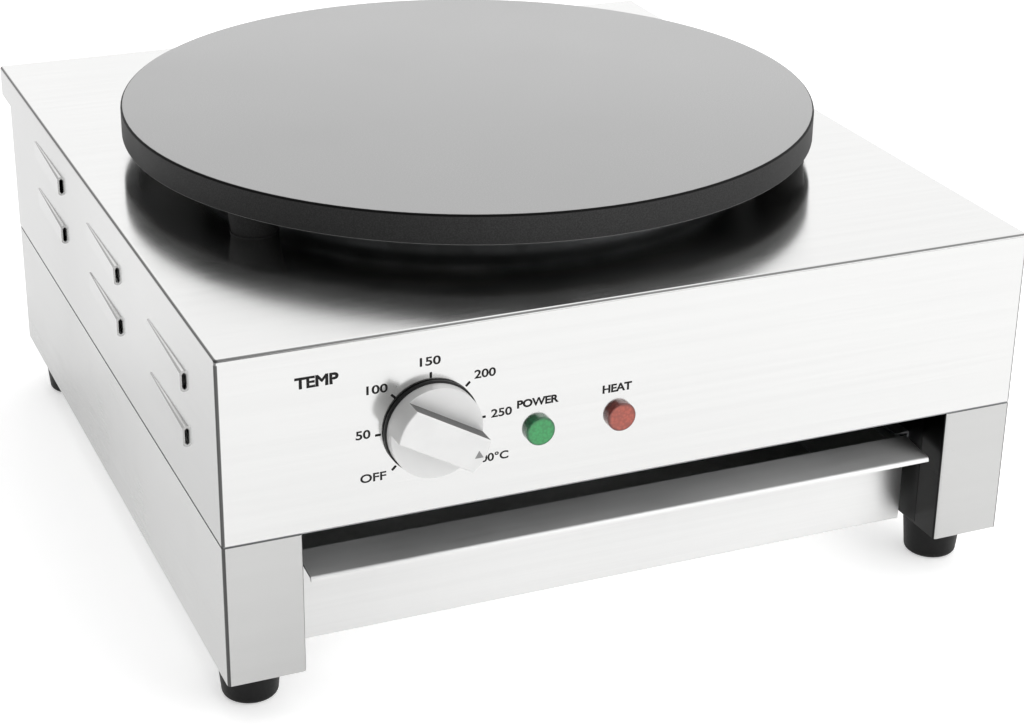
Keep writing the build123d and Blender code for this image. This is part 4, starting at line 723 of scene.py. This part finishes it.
@dataclass(frozen=True)
class SilverCap:
    """Satin silver paint on the knob's cap, with painted shade on the bar's two flanks."""

    colour: Colour = (0.72, 0.72, 0.715)
    roughness: float = 0.4
    rough_change: Span = (-0.04, 0.06)
    metallic: float = 0.35
    flake: Pattern = Pattern(2200.0, 3.0)
    patches: Pattern = Pattern(60.0, 2.0)
    dull_tone: float = 0.96
    # painted shade on the bar's flanks
    painted_flank_shade: float = 0.1
    flank_turn: float = 30.0
    flank_span: Span = (0.985, 0.998)
    flank_depth: float = 11.05
    bumps: Relief = (0.00002, 0.2)

    def flanks(self, recipe: Recipe) -> Socket:
        """Gives 1 on the bar's flanks, as deep as the cap's shoulder.

        Args:
            recipe: the material in the making.

        Returns:
            The mask.
        """
        turn = math.radians(self.flank_turn)
        facing = recipe.add("ShaderNodeVectorMath", {"operation": "DOT_PRODUCT"})
        recipe.put(facing.inputs[0], recipe.normal)
        recipe.put(facing.inputs[1], (math.sin(turn), 0.0, math.cos(turn)))
        along = recipe.ramp(recipe.math("ABSOLUTE", facing.outputs["Value"]), self.flank_span)
        proud = recipe.math("LESS_THAN", recipe.where("Y"), KNOB_FACE + self.flank_depth * MM)
        return recipe.product(along, proud)

    def material(self, name: str) -> bpy.types.Material:
        """Builds the node material.

        Args:
            name: the material's name.

        Returns:
            The material.
        """
        recipe = Recipe(name)
        flake = recipe.noise(self.flake)
        patches = recipe.ramp(recipe.noise(self.patches), MIDDLE)
        satin = recipe.blend(patches, shade(self.colour, self.dull_tone), self.colour)
        recipe.paint(
            # painted shade: the bar's flanks are darkened
            Base_Color=recipe.blend(self.flanks(recipe), satin, shade(self.colour, self.painted_flank_shade)),
            Roughness=recipe.ramp(flake, WIDE, around(self.roughness, self.rough_change)),
            Metallic=self.metallic,
        )
        recipe.relief((flake, self.bumps))
        return recipe.material


@dataclass(frozen=True)
class Moulded:
    """Moulded plastic, rubber, pressed fibre, sleeving or ink with a fine grain."""

    colour: Colour
    roughness: float
    rough_change: Span = (-0.05, 0.08)
    gloss: float = 0.5
    pit_scale: float = 1800.0
    pit_detail: float = 4.0
    pit_depth: float = 0.04
    pit_strength: float = 0.3
    patches: Pattern = Pattern(40.0, 3.0)
    light_tone: float = 1.35

    def material(self, name: str) -> bpy.types.Material:
        """Builds the node material.

        Args:
            name: the material's name.

        Returns:
            The material.
        """
        recipe = Recipe(name)
        pits = recipe.noise(Pattern(self.pit_scale, self.pit_detail))
        patches = recipe.ramp(recipe.noise(self.patches), WIDE)
        recipe.paint(
            Base_Color=recipe.blend(patches, self.colour, shade(self.colour, self.light_tone)),
            Roughness=recipe.ramp(pits, WIDE, around(self.roughness, self.rough_change)),
            Specular_IOR_Level=self.gloss,
        )
        recipe.relief((pits, (self.pit_depth * MM, self.pit_strength)))
        return recipe.material


@dataclass(frozen=True)
class LampLens:
    """Coloured prismatic lens with a darker edge."""

    disc: Disc
    colour: Colour
    edge: Colour
    edge_shares: Span = (0.78, 0.97)
    prism_scale: float = 750.0
    prism_span: Span = (0.1, 0.7)
    prism_tones: Span = (1.15, 0.8)
    glow: float = 0.12
    roughness: float = 0.22
    coat: float = 0.4
    bumps: Relief = (0.0001, 0.3)

    def from_middle(self, recipe: Recipe) -> Socket:
        """Gives the distance from the lens's middle.

        Args:
            recipe: the material in the making.

        Returns:
            The distance, in metres.
        """
        across = recipe.math("SUBTRACT", recipe.where("X"), self.disc.x)
        upward = recipe.math("SUBTRACT", recipe.where("Z"), self.disc.z)
        squares = recipe.total(recipe.product(across, across), recipe.product(upward, upward))
        return recipe.math("SQRT", squares)

    def material(self, name: str) -> bpy.types.Material:
        """Builds the node material.

        Args:
            name: the material's name.

        Returns:
            The material.
        """
        recipe = Recipe(name)
        start, end = (self.disc.radius * share for share in self.edge_shares)
        rim = recipe.ramp(self.from_middle(recipe), (start, end))
        prisms = recipe.add("ShaderNodeTexVoronoi", {"feature": "SMOOTH_F1"}, Vector=recipe.spot,
                            Scale=self.prism_scale).outputs["Distance"]
        sparkle = recipe.ramp(prisms, self.prism_span, self.prism_tones)
        lit = recipe.scaled(recipe.blend(rim, self.colour, self.edge), sparkle)
        recipe.paint(Base_Color=lit, Emission_Color=lit, Emission_Strength=self.glow,
                     Roughness=self.roughness, Coat_Weight=self.coat)
        recipe.relief((prisms, self.bumps))
        return recipe.material


# ---------------------------------------------------------------------------
# Modelling help
# ---------------------------------------------------------------------------


class Bench:
    """Selection, shaping, placing and joining of pieces."""

    CORNER_SEGMENTS = 3

    @staticmethod
    def clear() -> None:
        """Deselects everything."""
        bpy.ops.object.select_all(action="DESELECT")

    @staticmethod
    def hold(piece: bpy.types.Object) -> None:
        """Selects one piece alone and makes it active.

        Args:
            piece: the piece.
        """
        Bench.clear()
        piece.select_set(True)
        bpy.context.view_layer.objects.active = piece

    @staticmethod
    def settle(piece: bpy.types.Object) -> None:
        """Moves a piece's place, turn and scale into its mesh."""
        Bench.hold(piece)
        bpy.ops.object.transform_apply(location=True, rotation=True, scale=True)

    @staticmethod
    def span(piece: bpy.types.Object) -> tuple[Vector, Vector]:
        """Measures a piece's mesh.

        Args:
            piece: the piece.

        Returns:
            Its lowest and its highest corner.
        """
        columns = list(zip(*(vertex.co for vertex in piece.data.vertices)))
        return Vector([min(column) for column in columns]), Vector([max(column) for column in columns])

    @staticmethod
    def twin(piece: bpy.types.Object) -> bpy.types.Object:
        """Copies a piece with its own mesh.

        Args:
            piece: the piece.

        Returns:
            The copy.
        """
        copy = piece.copy()
        copy.data = piece.data.copy()
        bpy.context.scene.collection.objects.link(copy)
        return copy

    @staticmethod
    def join(pieces: list[bpy.types.Object], name: str) -> bpy.types.Object:
        """Joins pieces into one.

        Args:
            pieces: the pieces, all settled.
            name: name of the result.

        Returns:
            The joined piece.
        """
        Bench.hold(pieces[0])
        for piece in pieces:
            piece.select_set(True)
        bpy.ops.object.join()
        joined = bpy.context.view_layer.objects.active
        joined.name = name
        joined.data.name = name
        return joined

    @staticmethod
    def round_and_thicken(piece: bpy.types.Object, corner: float, thickness: float) -> None:
        """Rounds the corners of a flat upright shape and draws it out towards the rear.

        Args:
            piece: the flat shape, settled.
            corner: how far each corner is cut back, in metres.
            thickness: how far the shape is drawn out, in metres.
        """
        Bench.hold(piece)
        bpy.ops.object.mode_set(mode="EDIT")
        bpy.ops.mesh.select_all(action="SELECT")
        bpy.ops.mesh.bevel(offset=corner, segments=Bench.CORNER_SEGMENTS, affect="VERTICES")
        bpy.ops.mesh.select_all(action="SELECT")
        bpy.ops.mesh.extrude_region_move(TRANSFORM_OT_translate={"value": (0.0, thickness, 0.0)})
        bpy.ops.mesh.select_all(action="SELECT")
        bpy.ops.mesh.normals_make_consistent(inside=False)
        bpy.ops.object.mode_set(mode="OBJECT")

    @staticmethod
    def dress(piece: bpy.types.Object, material: bpy.types.Material) -> None:
        """Gives a piece one material on all its faces."""
        piece.data.materials.clear()
        piece.data.materials.append(material)


# ---------------------------------------------------------------------------
# Printed front panel
# ---------------------------------------------------------------------------


BOLD = 0.045  # how far a letter's strokes are fattened, as a share of the letter size
MEDIUM = 0.025


@dataclass(frozen=True)
class Word:
    """One printed word, in millimetres from the middle of the dial or lamp that it belongs to."""

    text: str
    beside: Disc
    left: float
    right: float
    bottom: float
    top: float
    weight: float


@dataclass
class FrontPrint:
    """Dial scale and words printed on the front panel. Sizes are in millimetres."""

    letter_steps: int = 8
    letter_depth: float = 0.5
    letter_weld: float = 0.0005
    tick_radius: float = 27.5
    tick_length: float = 3.1
    tick_width: float = 1.3
    tick_corner: float = 0.26
    tick_count: int = 7
    tick_step: float = 45.0
    words: tuple[Word, ...] = (
        Word("TEMP", DIAL, -69.1, -47.0, 31.2, 37.3, BOLD),
        Word("POWER", POWER_LAMP, -11.9, 10.8, 13.2, 17.7, BOLD),
        Word("HEAT", HEAT_LAMP, -9.9, 6.5, 13.3, 17.9, BOLD),
    )
    numbers: tuple[Word, ...] = (
        Word("OFF", DIAL, -37.0, -23.5, -24.9, -20.2, MEDIUM),
        Word("50", DIAL, -39.0, -31.4, -1.0, 3.8, MEDIUM),
        Word("100", DIAL, -33.2, -22.2, 22.3, 27.0, MEDIUM),
        Word("150", DIAL, -5.7, 5.2, 32.7, 37.4, MEDIUM),
        Word("200", DIAL, 22.8, 34.2, 21.5, 26.2, MEDIUM),
        Word("250", DIAL, 31.9, 43.1, -1.3, 3.3, MEDIUM),
        Word("300°C", DIAL, 23.2, 41.5, -25.2, -20.5, MEDIUM),
    )

    def letters(self, word: Word) -> bpy.types.Object:
        """Sets a word in flat solid letters, lying on the ground at Blender's own size.

        Args:
            word: what to print, and how heavy.

        Returns:
            The letters as a mesh.
        """
        Bench.clear()
        bpy.ops.object.text_add()
        letters = bpy.context.object
        letters.data.body = word.text
        letters.data.resolution_u = self.letter_steps
        letters.data.extrude = self.letter_depth
        Bench.hold(letters)
        bpy.ops.object.convert(target="MESH")
        letters = bpy.context.object
        bpy.ops.object.mode_set(mode="EDIT")
        bpy.ops.mesh.select_all(action="SELECT")
        bpy.ops.mesh.remove_doubles(threshold=self.letter_weld)
        bpy.ops.mesh.normals_make_consistent(inside=False)
        bpy.ops.transform.shrink_fatten(value=word.weight, use_even_offset=True)
        bpy.ops.object.mode_set(mode="OBJECT")
        return letters

    def word(self, word: Word) -> bpy.types.Object:
        """Prints one word on the panel.

        Args:
            word: what to print, and where.

        Returns:
            The word's mesh.
        """
        letters = self.letters(word)
        low, high = Bench.span(letters)
        wide = (word.right - word.left) * MM / (high.x - low.x)
        tall = (word.top - word.bottom) * MM / (high.y - low.y)
        letters.scale = (wide, tall, 2 * INK / (high.z - low.z))
        letters.rotation_euler = (math.pi / 2, 0.0, 0.0)
        letters.location = (
            word.beside.x + word.left * MM - low.x * wide,
            BODY.front,
            word.beside.z + word.bottom * MM - low.y * tall,
        )
        Bench.settle(letters)
        return letters

    def tick(self) -> bpy.types.Object:
        """Shapes the scale mark that stands straight above the dial, as if the dial were at the origin.

        Returns:
            The mark.
        """
        Bench.clear()
        bpy.ops.mesh.primitive_plane_add(size=1.0, rotation=(math.pi / 2, 0.0, 0.0))
        mark = bpy.context.object
        mark.scale = (self.tick_width * MM, self.tick_length * MM, 1.0)
        mark.location = (0.0, -INK, self.tick_radius * MM)
        Bench.settle(mark)
        Bench.round_and_thicken(mark, self.tick_corner * MM, 2 * INK)
        return mark

    def scale_marks(self) -> bpy.types.Object:
        """Repeats the mark round the dial, evenly to both sides of its top.

        Returns:
            The joined marks.
        """
        first = self.tick()
        marks = []
        for number in range(self.tick_count):
            turn = (number - (self.tick_count - 1) / 2) * self.tick_step
            mark = Bench.twin(first)
            mark.rotation_euler = (0.0, math.radians(turn), 0.0)
            mark.location = (DIAL.x, BODY.front, DIAL.z)
            Bench.settle(mark)
            marks.append(mark)
        bpy.data.objects.remove(first)
        return Bench.join(marks, "dial_scale_marks")

    def build(self, ink: bpy.types.Material) -> list[bpy.types.Object]:
        """Makes all printed pieces.

        Args:
            ink: material of the print.

        Returns:
            The pieces.
        """
        words = Bench.join([self.word(word) for word in self.words], "panel_words")
        numbers = Bench.join([self.word(word) for word in self.numbers], "dial_numbers")
        printed = [words, numbers, self.scale_marks()]
        for piece in printed:
            Bench.dress(piece, ink)
            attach(piece, "housing")
        return printed


@dataclass
class KnobMark:
    """Small pointer triangle near the end of the knob's bar. Sizes are in millimetres."""

    turn: float = 120.0
    distance: float = 20.2
    size: float = 2.7
    corner: float = 0.324

    def build(self, paint: bpy.types.Material) -> bpy.types.Object:
        """Makes the mark.

        Args:
            paint: its material.

        Returns:
            The piece.
        """
        Bench.clear()
        bpy.ops.mesh.primitive_circle_add(
            vertices=3, radius=self.size * MM, fill_type="NGON", rotation=(math.pi / 2, 0.0, 0.0)
        )
        mark = bpy.context.object
        Bench.settle(mark)
        mark.location = (0.0, -INK, self.distance * MM)
        Bench.settle(mark)
        Bench.round_and_thicken(mark, self.corner * MM, 2 * INK)
        mark.rotation_euler = (0.0, math.radians(self.turn), 0.0)
        mark.location = (DIAL.x, KNOB_FACE, DIAL.z)
        Bench.settle(mark)
        mark.name = "knob_pointer_mark"
        Bench.dress(mark, paint)
        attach(mark, "knob")
        return mark


# ---------------------------------------------------------------------------
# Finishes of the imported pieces
# ---------------------------------------------------------------------------


@dataclass(frozen=True)
class Coat:
    """One finish under its name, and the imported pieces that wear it."""

    name: str
    finish: Finish
    pieces: tuple[str, ...]


class Wardrobe:
    """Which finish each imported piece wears."""

    def sheets(self) -> list[Coat]:
        """Lists the coats of the folded sheets.

        Returns:
            The coats.
        """
        return [
            # the casing's side walls carry painted shade
            Coat("casing", BrushedSheet((0.64, 0.64, 0.635), 0.15, stretch=0.7, painted_side_shading=0.75),
                 ("upper_casing",)),
            # the frames' side walls carry painted light, and their legs' returns near-black painted shade
            Coat("frames", BrushedSheet((0.49, 0.49, 0.485), 0.25, painted_side_shading=1.12, painted_return_shade=0.03),
                 ("left_side_frame", "right_side_frame", "back_panel", "bay_rear_panel")),
            Coat("drawer", BrushedSheet((0.79, 0.79, 0.785), 0.42, stretch=0.85),
                 ("drawer_front", "drawer_tray")),
            Coat("bay", BrushedSheet((0.03, 0.03, 0.03), 0.45, grain=Grain.ALONG_Y),
                 ("left_bay_wall", "right_bay_wall")),
            Coat("galvanised", Spangle(),
                 ("chassis_floor", "front_support_channel", "rear_support_channel", "left_drawer_runner",
                  "right_drawer_runner", "heat_shield", "element_clamp_plate")),
        ]

    def hot_parts(self) -> list[Coat]:
        """Lists the coats of the plate and what lies under it.

        Returns:
            The coats.
        """
        return [
            Coat("plate", CastPlate(), ("cooking_plate",)),
            Coat("sheath", TurnedMetal((0.2, 0.19, 0.18), 0.45),
                 ("outer_heating_element", "inner_heating_element")),
            Coat("fibre", Moulded((0.82, 0.8, 0.74), 0.9, gloss=0.2, pit_scale=700.0, pit_depth=0.2,
                                  light_tone=1.1),
                 ("insulation_disc",)),
            Coat("graphite", Moulded((0.02, 0.02, 0.02), 0.6, gloss=0.4, pit_scale=700.0, pit_depth=0.2,
                                     light_tone=1.3),
                 ("leg_gaskets",)),
        ]

    def hardware(self) -> list[Coat]:
        """Lists the coats of fasteners, terminals, shaft and capillary.

        Returns:
            The coats.
        """
        return [
            Coat("zinc", TurnedMetal((0.66, 0.67, 0.69), 0.3),
                 ("casing_screws", "casing_nuts", "rear_panel_screws", "plate_screws", "plate_washers",
                  "clamp_studs", "clamp_nuts", "thermostat_screws", "foot_screws", "foot_washers",
                  "foot_nuts", "runner_rivets", "lamp_nuts")),
            Coat("brass", TurnedMetal((0.72, 0.55, 0.27), 0.28),
                 ("terminal_screws", "bonding_stud", "bonding_nuts", "bonding_washers")),
            Coat("steel", TurnedMetal((0.65, 0.65, 0.65), 0.25), ("thermostat_shaft",)),
            Coat("copper", TurnedMetal((0.75, 0.42, 0.27), 0.28), ("thermostat_capillary",)),
        ]

    def mouldings(self) -> list[Coat]:
        """Lists the coats of resin, plastic and rubber parts and of the lamp lenses.

        Returns:
            The coats.
        """
        return [
            Coat("resin", Moulded((0.68, 0.63, 0.52), 0.5),
                 ("thermostat_body", "overheat_cutout", "lamp_bodies", "terminal_block")),
            Coat("black", Moulded((0.006, 0.006, 0.006), 0.42, gloss=0.25),
                 ("knob_base", "gland_body", "gland_locknut", "gland_cap")),
            Coat("silver", SilverCap(), ("knob_cap",)),
            Coat("rubber", Moulded((0.004, 0.004, 0.004), 0.5, gloss=0.2, pit_scale=900.0, pit_depth=0.06,
                                   light_tone=1.5),
                 ("front_left_foot", "rear_left_foot", "front_right_foot", "rear_right_foot")),
            Coat("green_lens", LampLens(POWER_LAMP, (0.02, 0.26, 0.07), (0.008, 0.1, 0.035)),
                 ("power_lamp_lens",)),
            Coat("red_lens", LampLens(HEAT_LAMP, (0.34, 0.06, 0.035), (0.13, 0.02, 0.014)),
                 ("heat_lamp_lens",)),
        ]

    def sleeves(self) -> list[Coat]:
        """Lists the coats of the wires' sleeves.

        Returns:
            The coats.
        """
        return [
            Coat("brown", Moulded((0.16, 0.06, 0.03), 0.45), ("wire_supply_live", "wire_switched_live")),
            Coat("blue", Moulded((0.02, 0.08, 0.4), 0.45), ("wire_neutral",)),
            Coat("earth", Moulded((0.25, 0.45, 0.05), 0.45), ("wire_earth",)),
            Coat("braid", Moulded((0.78, 0.76, 0.7), 0.8, gloss=0.2, pit_scale=2400.0, pit_depth=0.2,
                                  light_tone=1.05),
                 ("element_link_wires",)),
        ]

    def dress_all(self, nodes: dict[str, bpy.types.Object]) -> None:
        """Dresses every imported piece.

        Args:
            nodes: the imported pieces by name.
        """
        for coat in self.sheets() + self.hot_parts() + self.hardware() + self.mouldings() + self.sleeves():
            material = coat.finish.material(coat.name)
            for piece in coat.pieces:
                Bench.dress(nodes[piece], material)
                LOG.info("dressed %s in %s", piece, coat.name)


# ---------------------------------------------------------------------------
# Studio
# ---------------------------------------------------------------------------


@dataclass(frozen=True)
class Softbox:
    """One rectangular light: its place, width and height in metres, and its power in watts."""

    name: str
    place: Place
    size: tuple[float, float]
    power: float


@dataclass
class Studio:
    """Floor, light and camera. Lengths are in metres and angles in degrees."""

    floor_half: float = 9.0
    floor_drop: float = 0.0002
    floor_tone: float = 0.9
    floor_glow: float = 0.48
    floor_roughness: float = 0.8
    dim_side: float = 0.3
    bright_side: float = 1.34
    sky_sideways: float = 1.6
    sky_upward: float = 0.8
    sky_span: Span = (-0.5, 1.4)
    softboxes: tuple[Softbox, ...] = (
        Softbox("front_softbox", (1.7, -2.3, 1.5), (2.4, 1.8), 20.0),
        Softbox("top_softbox", (0.0, 0.0, 2.4), (2.4, 2.4), 6.0),
    )
    aim: Place = (0.0, 0.0, 0.12)
    camera_place: Place = (-0.4779, -1.1727, 0.6451)
    azimuth: float = 23.28
    pitch: float = 24.61
    roll: float = 0.81
    focal_px: float = 2283.8
    image_width: float = 1024.0
    sensor: float = 36.0
    clip: Span = (0.05, 60.0)

    def floor(self) -> None:
        """Lays a plain pale floor."""
        Bench.clear()
        bpy.ops.mesh.primitive_plane_add(size=2 * self.floor_half, location=(0.0, 0.0, -self.floor_drop))
        floor = bpy.context.object
        floor.name = "studio_floor"
        recipe = Recipe("studio_floor")
        recipe.paint(Base_Color=(self.floor_tone,) * 3, Roughness=self.floor_roughness,
                     Emission_Color=WHITE, Emission_Strength=self.floor_glow)
        Bench.dress(floor, recipe.material)

    def world(self) -> None:
        """Surrounds the object with soft white light, brightest from above, behind and the right."""
        world = bpy.data.worlds.new("studio")
        bpy.context.scene.world = world
        world.use_nodes = True
        graph = Graph(world.node_tree)
        x, y, z = (graph.part(graph.place.outputs["Generated"], axis) for axis in "XYZ")
        upward = graph.math("MULTIPLY_ADD", z, self.sky_upward, y)
        sideways = graph.math("MULTIPLY_ADD", x, self.sky_sideways, upward)
        background = world.node_tree.nodes["Background"]
        graph.put(background.inputs["Strength"],
                  graph.ramp(sideways, self.sky_span, (self.dim_side, self.bright_side)))
        graph.put(background.inputs["Color"], solid(WHITE))

    def hang(self, box: Softbox) -> None:
        """Hangs one rectangular light and aims it at the object.

        Args:
            box: the light.
        """
        lamp = bpy.data.lights.new(box.name, "AREA")
        lamp.shape = "RECTANGLE"
        lamp.size, lamp.size_y = box.size
        lamp.energy = box.power
        light = bpy.data.objects.new(box.name, lamp)
        bpy.context.scene.collection.objects.link(light)
        turn = (Vector(self.aim) - Vector(box.place)).to_track_quat("-Z", "Y")
        light.matrix_world = Matrix.Translation(box.place) @ turn.to_matrix().to_4x4()

    def camera(self) -> None:
        """Sets the camera up, turned from +Y by its azimuth, then tipped down and rolled."""
        turn, down, lean = (math.radians(angle) for angle in (self.azimuth, self.pitch, self.roll))
        ahead = Vector((math.sin(turn) * math.cos(down), math.cos(turn) * math.cos(down), -math.sin(down)))
        level = Vector((math.cos(turn), -math.sin(turn), 0.0))
        above = level.cross(ahead)
        right = level * math.cos(lean) + above * math.sin(lean)
        up = above * math.cos(lean) - level * math.sin(lean)
        lens = bpy.data.cameras.new("camera")
        lens.sensor_width = self.sensor
        lens.lens = self.focal_px * self.sensor / self.image_width
        lens.clip_start, lens.clip_end = self.clip
        camera = bpy.data.objects.new("camera", lens)
        bpy.context.scene.collection.objects.link(camera)
        axes = Matrix((right, up, -ahead)).transposed().to_4x4()
        camera.matrix_world = Matrix.Translation(self.camera_place) @ axes
        bpy.context.scene.camera = camera

    def build(self) -> None:
        """Sets the whole studio up."""
        self.floor()
        self.world()
        for box in self.softboxes:
            self.hang(box)
        self.camera()
        bpy.context.scene.view_settings.view_transform = "Standard"


def main() -> None:
    """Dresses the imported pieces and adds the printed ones, the light, the floor and the camera."""
    logging.basicConfig(level=logging.INFO, format="%(name)s: %(message)s")
    Studio().build()
    wardrobe = Wardrobe()
    wardrobe.dress_all(frame["nodes"])
    ink = Moulded((0.004, 0.004, 0.004), 0.5, gloss=0.2).material("panel_ink")
    for piece in FrontPrint().build(ink):
        LOG.info("built %s", piece.name)
    mark = KnobMark().build(Moulded((0.2, 0.2, 0.2), 0.5).material("pointer_paint"))
    LOG.info("built %s", mark.name)


if __name__ == "__main__":
    main()
